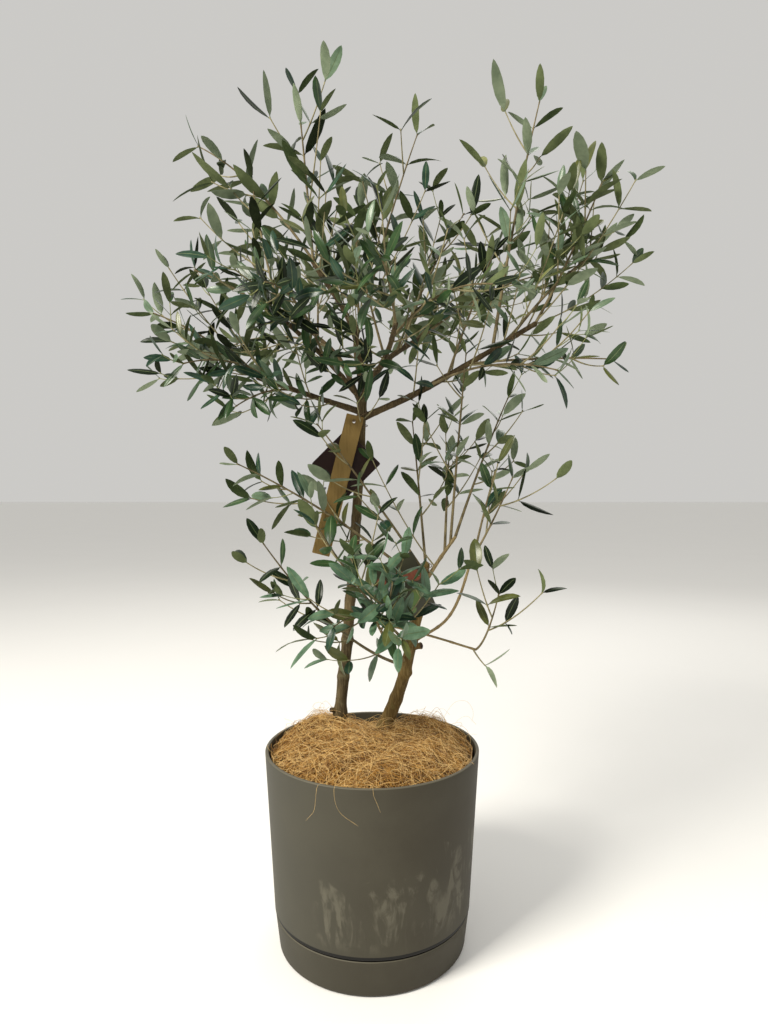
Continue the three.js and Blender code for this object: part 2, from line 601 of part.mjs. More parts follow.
/** A mass's stem and side twigs with their leaves, before anything is tested. */
function grow(row, index) {
  const random = randomStream(SEED + 101 * index);
  const foot = limbs.get(row.on).curve.getPointAt(row.at);
  const curve = shootCurve(foot, vector(row.tip), row.arch);
  const length = curve.getLength();
  const radii = [STEM_TIP_RADIUS + STEM_RADIUS_PER_LENGTH * length, STEM_TIP_RADIUS];
  const stem = { curve, length, radii, nodes: leafNodes(curve, length, STEM_LEAFLESS, random) };
  const count = Math.max(2, Math.round((length * (1 - STEM_BARE)) / TWIG_SPACING));
  const shares = Array.from({ length: count }, (_, i) =>
    mix(STEM_BARE, STEM_TWIGS_END, (i + 0.3 * random()) / count),
  );
  let turn = 2 * Math.PI * random();
  const twigs = framesAlong(curve, shares).map((frame, i) => {
    turn += Math.PI / 2 + TWIG_TURN_SPREAD * (random() - 0.5) + Math.PI * (i % 2);
    const angle = TWIG_ANGLE + TWIG_ANGLE_SPREAD * (random() - 0.5);
    const size = TWIG_LENGTH * (1 - (TWIG_SHORTENING * i) / count);
    const reach = size * (TWIG_LEAST + TWIG_LENGTH_SPREAD * random());
    const end = frame.place.clone().addScaledVector(frame.tangent, reach * Math.cos(angle));
    end.addScaledVector(around(frame, turn), reach * Math.sin(angle)).addScaledVector(UP, TWIG_RISE * reach);
    const axis = shootCurve(frame.place, end, TWIG_ARCH);
    const span = axis.getLength();
    return { curve: axis, length: span, radii: TWIG_RADII, nodes: leafNodes(axis, span, TWIG_BARE, random) };
  });
  return { name: row.name, stem, twigs, taken: [] };
}

const boxed = (body) => ({ body, box: body.boundingBox() });

/** Whether two boxes meet. */
function boxesMeet(one, other) {
  return [0, 1, 2].every((k) => one.min[k] <= other.max[k] && other.min[k] <= one.max[k]);
}

/** Whether a guard body is clear of every body in a list. */
function isClear(guard, others) {
  const box = guard.boundingBox();
  return others.every((other) => !boxesMeet(box, other.box) || guard.intersect(other.body).isEmpty());
}

// Foliage: first every stem, then the side twigs that have room, then the leaves that have room.
const masses = MASSES.map(grow);
const fixed = [...limbs.values()].map((limb) => boxed(limb.body));
fixed.push(boxed(coir), boxed(solidOf(potGeometry())), ...tagBodies.map(boxed));
for (const mass of masses) mass.taken.push(boxed(shootSolid(mass.stem, GAP)));

/** The bodies of the limbs, planter and tags, and all that the other masses have taken. */
function aroundMass(mass) {
  return [...fixed, ...masses.filter((other) => other !== mass).flatMap((other) => other.taken)];
}

for (const mass of masses) {
  const rest = aroundMass(mass);
  mass.twigs = mass.twigs.filter((twig) => {
    const body = shootSolid(twig, GAP);
    if (!isClear(body, rest)) return false;
    mass.taken.push(boxed(body));
    return true;
  });
}

for (const mass of masses) {
  const rest = aroundMass(mass);
  const shoots = [mass.stem, ...mass.twigs];
  const shootBodies = shoots.map((shoot) => boxed(shootSolid(shoot, GAP)));
  const blades = [];
  shoots.forEach((shoot, i) => {
    const ownShoots = shootBodies.filter((_, j) => j !== i);
    for (const leaf of shoot.nodes.flatMap((node) => node.leaves)) {
      const whole = leafGuard(leaf, 0);
      const blade = leafGuard(leaf, 1.2 * LEAF_ROOT);
      leaf.kept = isClear(whole, rest) && isClear(blade, [...ownShoots, ...blades]);
      if (!leaf.kept) continue;
      blades.push(boxed(blade));
      mass.taken.push(boxed(whole));
    }
  });
}

for (const mass of masses) {
  let body = wasm.Manifold.union([mass.stem, ...mass.twigs].map((shoot) => shootSolid(shoot)));
  for (const limb of limbs.values()) body = body.subtract(limb.cutter);
  addMesh(mass.name, geometryOf(largest(body)), FINISHES.foliage);
}

export default root;
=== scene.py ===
# %% [markdown]
# # A potted olive tree
# The plant is about 1.2 m high: two leaning trunks, a dozen boughs, and a loose crown of slender shoots
# with narrow leaves in opposite pairs. It stands in a charcoal planter under a mat of coconut fibre.
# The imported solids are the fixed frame. They already hold the planter, trunks and boughs at their real
# size, so every piece below starts from the same named sizes and grows finer from there.

# %% Load the frame and keep the size of the solids
import math

import bpy
import numpy as np
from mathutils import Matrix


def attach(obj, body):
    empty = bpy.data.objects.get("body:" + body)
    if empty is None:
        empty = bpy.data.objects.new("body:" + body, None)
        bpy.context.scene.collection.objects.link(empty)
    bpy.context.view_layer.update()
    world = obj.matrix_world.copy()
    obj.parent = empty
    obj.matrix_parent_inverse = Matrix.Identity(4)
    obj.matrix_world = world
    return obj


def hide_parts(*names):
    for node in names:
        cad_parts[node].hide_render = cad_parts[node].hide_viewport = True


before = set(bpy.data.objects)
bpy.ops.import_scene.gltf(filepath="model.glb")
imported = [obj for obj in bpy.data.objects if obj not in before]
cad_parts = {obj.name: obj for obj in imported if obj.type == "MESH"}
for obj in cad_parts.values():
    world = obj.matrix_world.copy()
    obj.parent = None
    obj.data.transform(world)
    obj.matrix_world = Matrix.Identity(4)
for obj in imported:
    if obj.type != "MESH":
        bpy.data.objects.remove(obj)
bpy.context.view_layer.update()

# %% [markdown]
# The camera comes first, so that every later size can be judged in the picture. It could be placed by
# eye, but the ellipses of the rim and the saucer fix it well: a lens of 700 pixels, 0.957 m in front of
# the planter's axis, 0.613 m above the floor and tipped 0.029 radians down.

# %% Camera at the photograph's angle
SENSOR = 36.0
FOCAL_PIXELS = 700.0
FRAME_PIXELS = 1024.0
CAMERA_PLACE = (0.016, -0.957, 0.613)
CAMERA_TIP = 0.029

camera_data = bpy.data.cameras.new("photo_camera")
camera_data.sensor_width = SENSOR
camera_data.lens = SENSOR * FOCAL_PIXELS / FRAME_PIXELS
camera_data.clip_start = 0.02
camera = bpy.data.objects.new("photo_camera", camera_data)
camera.location = CAMERA_PLACE
camera.rotation_euler = (math.pi / 2 - CAMERA_TIP, 0, 0)
bpy.context.scene.collection.objects.link(camera)
bpy.context.scene.camera = camera
print("camera lens", round(camera_data.lens, 2), "mm")

# %% [markdown]
# All sizes below are in millimetres, like the source of the solids, and a mesh is scaled to metres when
# it is made. A surface is an array of points and an array of faces with four corners, where a triangle
# has -1 as its last corner. That keeps many small shapes in one array, with no loop over vertices.

# %% From arrays to a mesh that rides on the frame
MM = 0.001


def add_piece(name, surface, materials, replaces=(), slot=None, tones=None, sharp=None):
    """A mesh object from a surface. `tones` gives each face its material, and `sharp` is the angle in
    degrees past which two faces meet in a crisp edge."""
    points, faces = surface
    corners = np.where(faces[:, 3] < 0, 3, 4)
    loops = faces[faces >= 0].astype(np.int32)
    mesh = bpy.data.meshes.new(name)
    mesh.vertices.add(len(points))
    mesh.vertices.foreach_set("co", (points * MM).astype(np.float32).ravel())
    mesh.loops.add(len(loops))
    mesh.loops.foreach_set("vertex_index", loops)
    mesh.polygons.add(len(faces))
    mesh.polygons.foreach_set("loop_start", (np.cumsum(corners) - corners).astype(np.int32))
    if tones is not None:
        mesh.polygons.foreach_set("material_index", np.asarray(tones, dtype=np.int32))
    mesh.polygons.foreach_set("use_smooth", np.ones(len(faces), dtype=bool))
    for material in materials:
        mesh.materials.append(material)
    mesh.update(calc_edges=True)
    if sharp is not None:
        mesh.set_sharp_from_angle(angle=math.radians(sharp))
    piece = bpy.data.objects.new(name, mesh)
    bpy.context.scene.collection.objects.link(piece)
    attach(piece, "root")
    if replaces:
        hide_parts(*replaces)
    print(name, int((corners - 2).sum()), "triangles")


def join(surfaces):
    """Several surfaces as one: the points end to end, and each surface's faces counted on from there."""
    starts = np.cumsum([0] + [len(points) for points, _ in surfaces[:-1]])
    shifted = [np.where(faces < 0, -1, faces + start) for (_, faces), start in zip(surfaces, starts)]
    return np.concatenate([points for points, _ in surfaces]), np.concatenate(shifted)


# %% [markdown]
# A trunk, a twig and a fibre are all the same shape: rings of points round a curved axis. The axis is
# first laid out as a fine line of points, so that any place on it can be read off by its share of the
# length. Blender's own curve objects could do this too, but here the bark's relief needs its own radius
# at every point of every ring.

# %% Curved axes
UP = np.array([0.0, 0.0, 1.0])
AXIS_STEPS = 200


def unit(vectors):
    """Vectors divided by their lengths."""
    return vectors / np.maximum(np.linalg.norm(vectors, axis=-1, keepdims=True), 1e-9)


def axis_of(line):
    """An axis from a fine line of points: its tangents, its length, and each point's share of it."""
    steps = np.linalg.norm(np.diff(line, axis=0), axis=1)
    travelled = np.concatenate([[0], np.cumsum(steps)])
    tangent = unit(np.gradient(line, axis=0))
    return {"line": line, "tangent": tangent, "length": travelled[-1], "share": travelled / travelled[-1]}


def read_axis(axis, shares):
    """Places and unit tangents at shares of an axis's length, read off by straight interpolation."""
    place = np.stack([np.interp(shares, axis["share"], axis["line"][:, k]) for k in range(3)], axis=-1)
    slope = np.stack([np.interp(shares, axis["share"], axis["tangent"][:, k]) for k in range(3)], axis=-1)
    return place, unit(slope)


def spline_axis(points):
    """The smooth curve through some points. Between two of them it is a cubic, whose end slopes weigh
    the neighbouring chords by the square root of their lengths."""
    points = np.asarray(points, dtype=float)
    padded = np.vstack([2 * points[0] - points[1], points, 2 * points[-1] - points[-2]])
    gap = np.sqrt(np.linalg.norm(np.diff(padded, axis=0), axis=1))
    position = np.linspace(0, len(points) - 1, AXIS_STEPS + 1)
    k = np.minimum(position.astype(int), len(points) - 2)
    t = (position - k)[:, None]
    p0, p1, p2, p3 = (padded[k + i] for i in range(4))
    g0, g1, g2 = (gap[k + i][:, None] for i in range(3))
    slope1 = g1 * ((p1 - p0) / g0 - (p2 - p0) / (g0 + g1) + (p2 - p1) / g1)
    slope2 = g1 * ((p2 - p1) / g1 - (p3 - p1) / (g1 + g2) + (p3 - p2) / g2)
    square = 3 * (p2 - p1) - 2 * slope1 - slope2
    cube = 2 * (p1 - p2) + slope1 + slope2
    return axis_of(p1 + slope1 * t + square * t**2 + cube * t**3)


def shoot_axis(foot, tip, arch):
    """A shoot's curve, (1-t)^2 foot + 2t(1-t) middle + t^2 tip, where the middle is raised above the
    chord by twice the arch, a share of the chord's length."""
    foot, tip = np.asarray(foot, dtype=float), np.asarray(tip, dtype=float)
    middle = (foot + tip) / 2 + 2 * arch * np.linalg.norm(tip - foot) * UP
    t = np.linspace(0, 1, AXIS_STEPS + 1)[:, None]
    return axis_of((1 - t) ** 2 * foot + 2 * t * (1 - t) * middle + t**2 * tip)


def place_on(axis, share):
    """The point at one share of an axis's length."""
    return read_axis(axis, np.array([share]))[0][0]


def sides_of(tangent, hint):
    """Two directions square to each tangent: the hint with its part along the tangent taken out, and
    the one a quarter turn on from it."""
    level = unit(hint - (tangent * hint).sum(axis=-1, keepdims=True) * tangent)
    return level, np.cross(tangent, level)


# %% Tubes round an axis
def ring_angles(sides):
    """Equal steps once round a ring, in radians."""
    return 2 * np.pi * np.arange(sides) / sides


def ring_faces(rings, sides):
    """Quads between neighbouring rings, and a fan of triangles to a pole before the first ring and one
    after the last. The poles are the last two points."""
    i, k = np.meshgrid(np.arange(rings - 1), np.arange(sides), indexing="ij")
    after = (k + 1) % sides
    quads = np.stack([i * sides + k, i * sides + after, (i + 1) * sides + after, (i + 1) * sides + k], -1)
    k = np.arange(sides)
    after = (k + 1) % sides
    none = np.full(sides, -1)
    last = (rings - 1) * sides
    foot = np.stack([np.full(sides, rings * sides), after, k, none], -1)
    tip = np.stack([np.full(sides, rings * sides + 1), last + k, last + after, none], -1)
    return np.concatenate([quads.reshape(-1, 4), foot, tip])


def tube(axis, shares, radii, sides, hint, dome=0.6):
    """A closed tube: place + radius (cos a level + sin a above). The radius may change from ring to ring
    and round each ring, and the tip's pole stands out by a share of the last radius."""
    place, tangent = read_axis(axis, shares)
    level, above = sides_of(tangent, hint)
    angle = ring_angles(sides)
    outward = np.cos(angle)[None, :, None] * level[:, None] + np.sin(angle)[None, :, None] * above[:, None]
    radii = np.asarray(radii, dtype=float)
    radii = np.broadcast_to(radii[:, None] if radii.ndim == 1 else radii, (len(shares), sides))
    grid = place[:, None] + radii[..., None] * outward
    poles = np.stack([place[0], place[-1] + tangent[-1] * dome * radii[-1].mean()])
    return np.concatenate([grid.reshape(-1, 3), poles]), ring_faces(len(shares), sides)


# %% [markdown]
# The finishes are node materials on object coordinates, so they stay in place on the piece from every
# side. Colours are written as they look on a screen, 0 to 255, and turned into the linear values that
# the shader works in.

# %% Helpers for node materials
# A Mix node has sockets for every kind of value. These are the ones for two colours and their result.
MIX_FIRST, MIX_SECOND, MIX_RESULT = 6, 7, 2


def paint(red, green, blue):
    """A screen colour as linear red, green, blue and alpha: ((c + 0.055) / 1.055) to the power 2.4."""
    share = np.array([red, green, blue]) / 255
    linear = np.where(share <= 0.04045, share / 12.92, ((share + 0.055) / 1.055) ** 2.4)
    return (*linear.tolist(), 1.0)


class Finish:
    """A material in the making: a Principled shader with nodes added to it one at a time."""

    def __init__(self, name, **sockets):
        self.material = bpy.data.materials.new(name)
        self.material.use_nodes = True
        self.tree = self.material.node_tree
        self.shader = self.tree.nodes["Principled BSDF"]
        self.place = self.add("ShaderNodeTexCoord").outputs["Object"]
        self.set(**sockets)

    def add(self, kind, **settings):
        """A new node with its settings."""
        made = self.tree.nodes.new(kind)
        for key, value in settings.items():
            setattr(made, key, value)
        return made

    def put(self, socket, value):
        """Links a socket to another one, or sets it to a plain value."""
        if isinstance(value, bpy.types.NodeSocket):
            self.tree.links.new(value, socket)
        else:
            socket.default_value = value

    def set(self, **sockets):
        """Sets or links the shader's own sockets, whose names have _ in place of a space."""
        for key, value in sockets.items():
            self.put(self.shader.inputs[key.replace("_", " ")], value)

    def at_scale(self, stretch):
        """Object coordinates stretched by a factor on each axis."""
        mapping = self.add("ShaderNodeMapping")
        mapping.inputs["Scale"].default_value = stretch
        self.put(mapping.inputs["Vector"], self.place)
        return mapping.outputs["Vector"]

    def noise(self, scale, detail=4.0, roughness=0.55, distortion=0.0, stretch=(1, 1, 1)):
        """Cloudy noise, from 0 to 1, with about `scale` lumps to a metre."""
        made = self.add("ShaderNodeTexNoise")
        self.put(made.inputs["Vector"], self.at_scale(stretch))
        values = {"Scale": scale, "Detail": detail, "Roughness": roughness, "Distortion": distortion}
        for key, value in values.items():
            made.inputs[key].default_value = value
        return made.outputs["Fac"]

    def cells(self, scale, stretch=(1, 1, 1)):
        """Distance to the nearest of many scattered points, `scale` of them to a metre."""
        made = self.add("ShaderNodeTexVoronoi")
        self.put(made.inputs["Vector"], self.at_scale(stretch))
        made.inputs["Scale"].default_value = scale
        return made.outputs["Distance"]

    def band(self, value, low, high):
        """A value clipped to 0 at `low` and 1 at `high`, or the other way round if low is larger."""
        made = self.add("ShaderNodeMapRange")
        made.interpolation_type = "SMOOTHSTEP"
        self.put(made.inputs["Value"], value)
        made.inputs["From Min"].default_value = min(low, high)
        made.inputs["From Max"].default_value = max(low, high)
        made.inputs["To Min"].default_value = 0.0 if low < high else 1.0
        made.inputs["To Max"].default_value = 1.0 if low < high else 0.0
        return made.outputs["Result"]

    def math(self, operation, first, second):
        """Two values joined by a sum, a product or another operation."""
        made = self.add("ShaderNodeMath", operation=operation)
        self.put(made.inputs[0], first)
        self.put(made.inputs[1], second)
        return made.outputs["Value"]

    def times(self, first, second):
        """The product of two values."""
        return self.math("MULTIPLY", first, second)

    def mix(self, factor, first, second):
        """The first colour at factor 0, the second at 1, and blends of them between."""
        made = self.add("ShaderNodeMix", data_type="RGBA")
        self.put(made.inputs["Factor"], factor)
        self.put(made.inputs[MIX_FIRST], first)
        self.put(made.inputs[MIX_SECOND], second)
        return made.outputs[MIX_RESULT]

    def wash(self, colour, over, mask, strength):
        """A second colour laid over the first where the mask is 1, as strongly as `strength` says."""
        return self.mix(self.times(mask, strength), colour, over)

    def axis(self, name):
        """One of the object coordinates X, Y and Z, in metres."""
        made = self.add("ShaderNodeSeparateXYZ")
        self.put(made.inputs["Vector"], self.place)
        return made.outputs[name]

    def along(self, axis, low, high):
        """A band by place: 0 up to `low` metres along an axis and 1 from `high` on."""
        return self.band(self.axis(axis), low, high)

    def bump(self, height, strength, distance):
        """Fine relief that bends the light alone: a height from 0 to 1 times a distance in metres."""
        made = self.add("ShaderNodeBump")
        self.put(made.inputs["Height"], height)
        made.inputs["Strength"].default_value = strength
        made.inputs["Distance"].default_value = distance
        self.set(Normal=made.outputs["Normal"])


def two_tone(name, dark, light, pattern, **sockets):
    """A finish of two colours blended by noise. `pattern` holds the noise's scale and its detail."""
    finish = Finish(name, **sockets)
    finish.set(Base_Color=finish.mix(finish.noise(*pattern), paint(*dark), paint(*light)))
    return finish


# %% [markdown]
# The planter and its saucer are moulded in a matt charcoal composite with water marks low on the wall.
# Each is a profile turned round the axis: the lip and corners are small arcs, because a real moulding
# has no knife edges and its rim catches a thin line of light. A slow ripple of a tenth of a millimetre
# keeps the wall from looking machined.

# %% Sizes of the planter and saucer
SAUCER_RADIUS, SAUCER_FOOT_RADIUS, SAUCER_HEIGHT, SAUCER_WALL = 132.5, 127.5, 47.5, 4.0
POT_HEIGHT, POT_RIM_RADIUS, POT_WALL = 264.0, 146.0, 4.5
POT_SHOULDER_RADIUS, POT_SHOULDER_HEIGHT, POT_FOOT_RADIUS = 133.5, 51.0, 122.0
SAUCER_CORNER, SAUCER_LIP, SAUCER_FILLET = 5.0, 1.3, 4.0
POT_CORNER, POT_SHOULDER_CORNER, POT_LIP = 2.0, 2.4, 1.5
LIP_INSIDE = 1.2
FLOOR_FROM = 60.0
GAP = 0.3
SOIL_TOP = 244.0
LATHE_SIDES = 192
RIPPLE_FROM = 20.0


def arc(radius, height, size, start, end, steps):
    """Points on an arc of a profile, between two angles in quarter turns."""
    angle = np.linspace(start, end, steps + 1) * np.pi / 2
    return np.stack([radius + size * np.cos(angle), height + size * np.sin(angle)], axis=-1)


def climb(radius_from, height_from, radius_to, height_to, steps):
    """Points on a straight stretch of a profile, without its ends."""
    share = np.linspace(0, 1, steps + 2)[1:-1, None]
    return np.array([radius_from, height_from]) * (1 - share) + np.array([radius_to, height_to]) * share


def turned(profile, ripple=0.0):
    """A profile of radius and height turned round the axis: (r cos a, r sin a, h), closed by a pole where
    it starts and one where it ends. The ripple adds slow waves of that size to the radius, two and five
    to a turn, and they lean as they rise."""
    radius, height = profile[:, 0][:, None], profile[:, 1][:, None]
    angle = ring_angles(LATHE_SIDES)[None]
    wave = np.cos(2 * angle + height / 90) + 0.6 * np.cos(5 * angle - height / 60)
    around = radius + ripple * wave * (radius > RIPPLE_FROM)
    grid = np.stack([around * np.cos(angle), around * np.sin(angle), height + 0 * angle], axis=-1)
    poles = np.array([[0, 0, profile[0, 1]], [0, 0, profile[-1, 1]]])
    return np.concatenate([grid.reshape(-1, 3), poles]), ring_faces(len(profile), LATHE_SIDES)


# %% Profiles of the planter and saucer
saucer_inside = SAUCER_FOOT_RADIUS - SAUCER_WALL
saucer_profile = np.concatenate([
    [[FLOOR_FROM, 0]],
    arc(SAUCER_FOOT_RADIUS - SAUCER_CORNER, SAUCER_CORNER, SAUCER_CORNER, -1, 0, 6),
    climb(SAUCER_FOOT_RADIUS, SAUCER_CORNER, SAUCER_RADIUS, SAUCER_HEIGHT - 2, 6),
    arc(SAUCER_RADIUS - SAUCER_LIP, SAUCER_HEIGHT - SAUCER_LIP, SAUCER_LIP, 0, 1, 4),
    arc(SAUCER_RADIUS - SAUCER_WALL + LIP_INSIDE, SAUCER_HEIGHT - LIP_INSIDE, LIP_INSIDE, 1, 2, 4),
    arc(saucer_inside - SAUCER_FILLET, SAUCER_WALL + SAUCER_FILLET, SAUCER_FILLET, 0, -1, 4),
    [[FLOOR_FROM, SAUCER_WALL]],
])
pot_foot = SAUCER_WALL + GAP
foot_inside, shoulder_inside, rim_inside = (
    radius - POT_WALL for radius in (POT_FOOT_RADIUS, POT_SHOULDER_RADIUS, POT_RIM_RADIUS)
)
pot_profile = np.concatenate([
    [[FLOOR_FROM, pot_foot]],
    arc(POT_FOOT_RADIUS - POT_CORNER, pot_foot + POT_CORNER, POT_CORNER, -1, 0, 3),
    [[POT_FOOT_RADIUS, POT_SHOULDER_HEIGHT - 3]],
    arc(POT_SHOULDER_RADIUS - POT_SHOULDER_CORNER, POT_SHOULDER_HEIGHT + 0.4, POT_SHOULDER_CORNER, -1, 0, 5),
    climb(POT_SHOULDER_RADIUS, POT_SHOULDER_HEIGHT, POT_RIM_RADIUS, POT_HEIGHT - POT_LIP, 24),
    arc(POT_RIM_RADIUS - POT_LIP, POT_HEIGHT - POT_LIP, POT_LIP, 0, 1, 5),
    arc(rim_inside + LIP_INSIDE, POT_HEIGHT - LIP_INSIDE, LIP_INSIDE, 1, 2, 4),
    climb(rim_inside, POT_HEIGHT - LIP_INSIDE, shoulder_inside, POT_SHOULDER_HEIGHT, 8),
    [[foot_inside, POT_SHOULDER_HEIGHT - POT_WALL]],
    [[foot_inside, pot_foot + POT_WALL]],
    [[FLOOR_FROM, pot_foot + POT_WALL]],
])
print("profiles:", len(saucer_profile), "and", len(pot_profile), "points")

# %% [markdown]
# The charcoal is nearly even, with a fine sandy grain, and a touch browner and darker towards the right,
# partly its own tone and partly painted shade on the side away from the key light. Water has run down it
# and left pale chalky tongues that start at different heights and fade below. They are noise stretched
# along Z and bent a little, kept to the lower half of the front. A painted shadow darkens the joint of
# planter and saucer, and a painted highlight makes the lips paler.

# %% Charcoal moulding with water marks
MARK_TOP = 0.084
# The marks fade in over these stretches of each axis, from nothing to full, in metres.
MARK_EDGES = [("Z", 0.052, 0.082), ("X", -0.075, -0.055), ("Y", 0.1, -0.03)]
CLOUD_TONE, GRAIN_TONE = paint(78, 75, 62), paint(46, 43, 34)
# The second tone is a painted highlight for the lips, and the third a painted shadow for the joint.
CHALK_TONE, LIP_HIGHLIGHT_TONE, JOINT_SHADOW_TONE = paint(116, 112, 96), paint(112, 107, 92), paint(8, 7, 5)
LIP_BAND = 0.6


def water_marks(finish):
    """How chalky the wall is, 0 to 1: streaks of noise drawn out along Z and broken up, below a ragged
    top that is higher on the right. They fade at the foot, at the far left and towards the back."""
    rise = finish.times(finish.along("X", 0.03, 0.1), 0.03)
    ragged = finish.times(finish.noise(24, detail=3, distortion=0.8), 0.12)
    height = finish.math("SUBTRACT", finish.axis("Z"), finish.math("ADD", rise, ragged))
    zone = finish.band(height, MARK_TOP, MARK_TOP - 0.016)
    for axis, nothing, full in MARK_EDGES:
        zone = finish.times(zone, finish.along(axis, nothing, full))
    streak = finish.noise(46, detail=3, roughness=0.5, distortion=1.5, stretch=(1, 1, 0.27))
    broken = finish.noise(36, detail=4, roughness=0.65, distortion=1.0, stretch=(1, 1, 0.6))
    tongue = finish.times(finish.band(streak, 0.46, 0.6), finish.band(broken, 0.38, 0.56))
    return finish.times(zone, tongue)


def painted_shadow_on_wall(finish):
    """Where a painted shadow darkens the planter, 0 to 1: a band just over its joint with the saucer, by
    height.
    """
    joint = POT_SHOULDER_HEIGHT * MM
    over = finish.along("Z", joint - 0.004, joint - 0.003)
    return finish.times(over, finish.along("Z", joint + 0.0034, joint + 0.0026))


def painted_shadow_on_lip(finish):
    """Where a painted shadow darkens the saucer, under the planter's shoulder: its lip but for the outer
    millimetre, by the radius squared.
    """
    across, along = (finish.math("POWER", finish.axis(axis), 2) for axis in "XY")
    square = finish.math("ADD", across, along)
    inside = finish.band(square, ((SAUCER_RADIUS - 0.8) * MM) ** 2, ((SAUCER_RADIUS - 1.4) * MM) ** 2)
    return finish.times(inside, finish.along("Z", 0.038, 0.042))


def charcoal(name, left, right, lip, painted_shadow_at):
    """The two colours meet across the front by X, the right one darker, partly its own tone and partly
    painted shade. A painted highlight makes them paler at the height `lip` in millimetres and above, and the
    last argument gives where a painted shadow lies."""
    finish = Finish(name, Roughness=0.62, Specular_IOR_Level=0.3)
    cloud = finish.noise(9, detail=5, roughness=0.6)
    grain = finish.noise(900, detail=2)
    # The right colour is darker, partly the moulding's own browner tone and partly painted shade on the side
    # away from the key light.
    colour = finish.mix(finish.along("X", -0.12, 0.07), left, right)
    colour = finish.wash(colour, CLOUD_TONE, finish.band(cloud, 0.4, 0.7), 0.3)
    colour = finish.wash(colour, CHALK_TONE, water_marks(finish), 0.42)
    colour = finish.wash(colour, GRAIN_TONE, grain, 0.25)
    # A painted highlight makes the lips paler.
    colour = finish.wash(colour, LIP_HIGHLIGHT_TONE, finish.along("Z", (lip - LIP_BAND) * MM, lip * MM), 0.5)
    # A painted shadow darkens the joint of planter and saucer almost to black.
    finish.set(Base_Color=finish.wash(colour, JOINT_SHADOW_TONE, painted_shadow_at(finish), 0.97))
    finish.bump(finish.math("ADD", grain, finish.times(cloud, 0.8)), 0.25, 0.0004)
    return finish.material


# On both mouldings the right colour is darker, partly as painted shade.
pot_material = charcoal("charcoal_planter", paint(67, 65, 55), paint(59, 54, 41),
                        POT_HEIGHT - LIP_BAND, painted_shadow_on_wall)
saucer_material = charcoal("charcoal_saucer", paint(62, 59, 48), paint(56, 51, 38),
                           SAUCER_HEIGHT - LIP_BAND, painted_shadow_on_lip)
add_piece("planter", turned(pot_profile, 0.12), [pot_material], ["pot"], "pot")
add_piece("saucer_dish", turned(saucer_profile, 0.1), [saucer_material], ["saucer"], "saucer")

# %% [markdown]
# Under the mat is damp dark compost, of which only a thin ring shows against the wall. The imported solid
# already has its shape, so it keeps its own mesh and gets a crumbly finish.

# %% Compost
compost = two_tone("damp_compost", (30, 22, 16), (72, 54, 38), (120, 6),
                   Roughness=0.95, Specular_IOR_Level=0.15)
compost.bump(compost.cells(260), 0.8, 0.003)
root_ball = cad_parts["root_ball"]
root_ball.data.materials.clear()
root_ball.data.materials.append(compost.material)
print("compost keeps its solid:", root_ball.name)

# %% [markdown]
# The coir mat is a felt of curled coconut fibre, mounded in the planter and parted round the trunks. A
# hair system could carry it, but it is real geometry in two layers: a lumpy dome, darker than the
# fibres, and thousands of curled three-sided fibres lying over it. The dome's dark browns are partly the
# mat's own colour and partly painted shade for the gaps deep in the mat. The dome's height is the same
# formula as the solid's, with smaller lumps added.

# %% Height of the coir mat
COIR_EDGE_TOP, COIR_CROWN = 253.0, 24.0
COIR_REACH, MAT_LEAST = 139.5, 3.0
FELT_WAVES, FELT_LENGTHS, FELT_SIZE = 16, (5, 26), 0.42
COIR_HEAPS = [
    # middle, half-width, half-depth, rise: a hollow behind the trunks, a heap on each side, one in front
    (22, 112, 56, 48, -15),
    (-88, 62, 46, 52, 18),
    (92, 62, 44, 50, 18),
    (0, -130, 90, 40, 8),
]
DOME_RINGS, DOME_SIDES = 80, 220


def coir_height(x, y):
    """A dome that falls off with the cube of the radius, plus two slow waves, plus the hollow and the
    heaps, each a bell curve round one point."""
    radius = np.hypot(x, y) / POT_RIM_RADIUS
    height = COIR_EDGE_TOP + COIR_CROWN * (1 - radius**3)
    height = height + 2.2 * np.sin(x / 23 + 1.1) * np.cos(y / 27 - 0.4) + 1.6 * np.sin(x / 13 - y / 17)
    for middle_x, middle_y, width, depth, rise in COIR_HEAPS:
        height = height + rise * np.exp(-(((x - middle_x) / width) ** 2) - ((y - middle_y) / depth) ** 2)
    return height


def trodden(x, y):
    """How much lower the finished mat lies than the solid's, in a hollow round the trunks that opens to
    the back, so that the fibres' own thickness doesn't raise it."""
    behind = np.exp(-(((x - 12) / 62) ** 2) - ((y - 92) / 48) ** 2)
    foot = np.exp(-(((x - 2) / 26) ** 2) - ((y - 40) / 24) ** 2)
    return 4 + 15 * behind + 7 * foot


def coir_reach(angle):
    """How far the mat goes out: to the wall in front, a few millimetres short of it at the sides and
    16 mm behind, with a ragged edge."""
    ragged = 1.4 * np.sin(7 * angle + 0.5) + 1.0 * np.sin(12 * angle) + 0.7 * np.sin(19 * angle + 2)
    return COIR_REACH - 2.5 * (1 + np.sin(angle)) ** 2.6 - 3.2 * np.cos(angle) ** 4 + ragged


def felt(x, y):
    """Small lumps: a sum of waves with random directions and lengths."""
    rng = np.random.default_rng(7)
    heading = rng.uniform(0, 2 * np.pi, FELT_WAVES)
    number = 2 * np.pi / rng.uniform(*FELT_LENGTHS, FELT_WAVES)
    phase = rng.uniform(0, 2 * np.pi, FELT_WAVES)
    travel = np.multiply.outer(x, np.cos(heading) * number) + np.multiply.outer(y, np.sin(heading) * number)
    return FELT_SIZE * np.cos(travel + phase).sum(axis=-1)


def mat_height(x, y):
    """The mat's top: it rounds off towards its edge, as the square root of one less the seventh power
    of the share of its reach."""
    share = np.clip(np.hypot(x, y) / coir_reach(np.arctan2(y, x)), 0, 1)
    shoulder = np.sqrt(np.clip(1 - share**7, 0, 1))
    base = SOIL_TOP + MAT_LEAST
    return base + (coir_height(x, y) - trodden(x, y) + felt(x, y) - base) * (0.2 + 0.8 * shoulder)


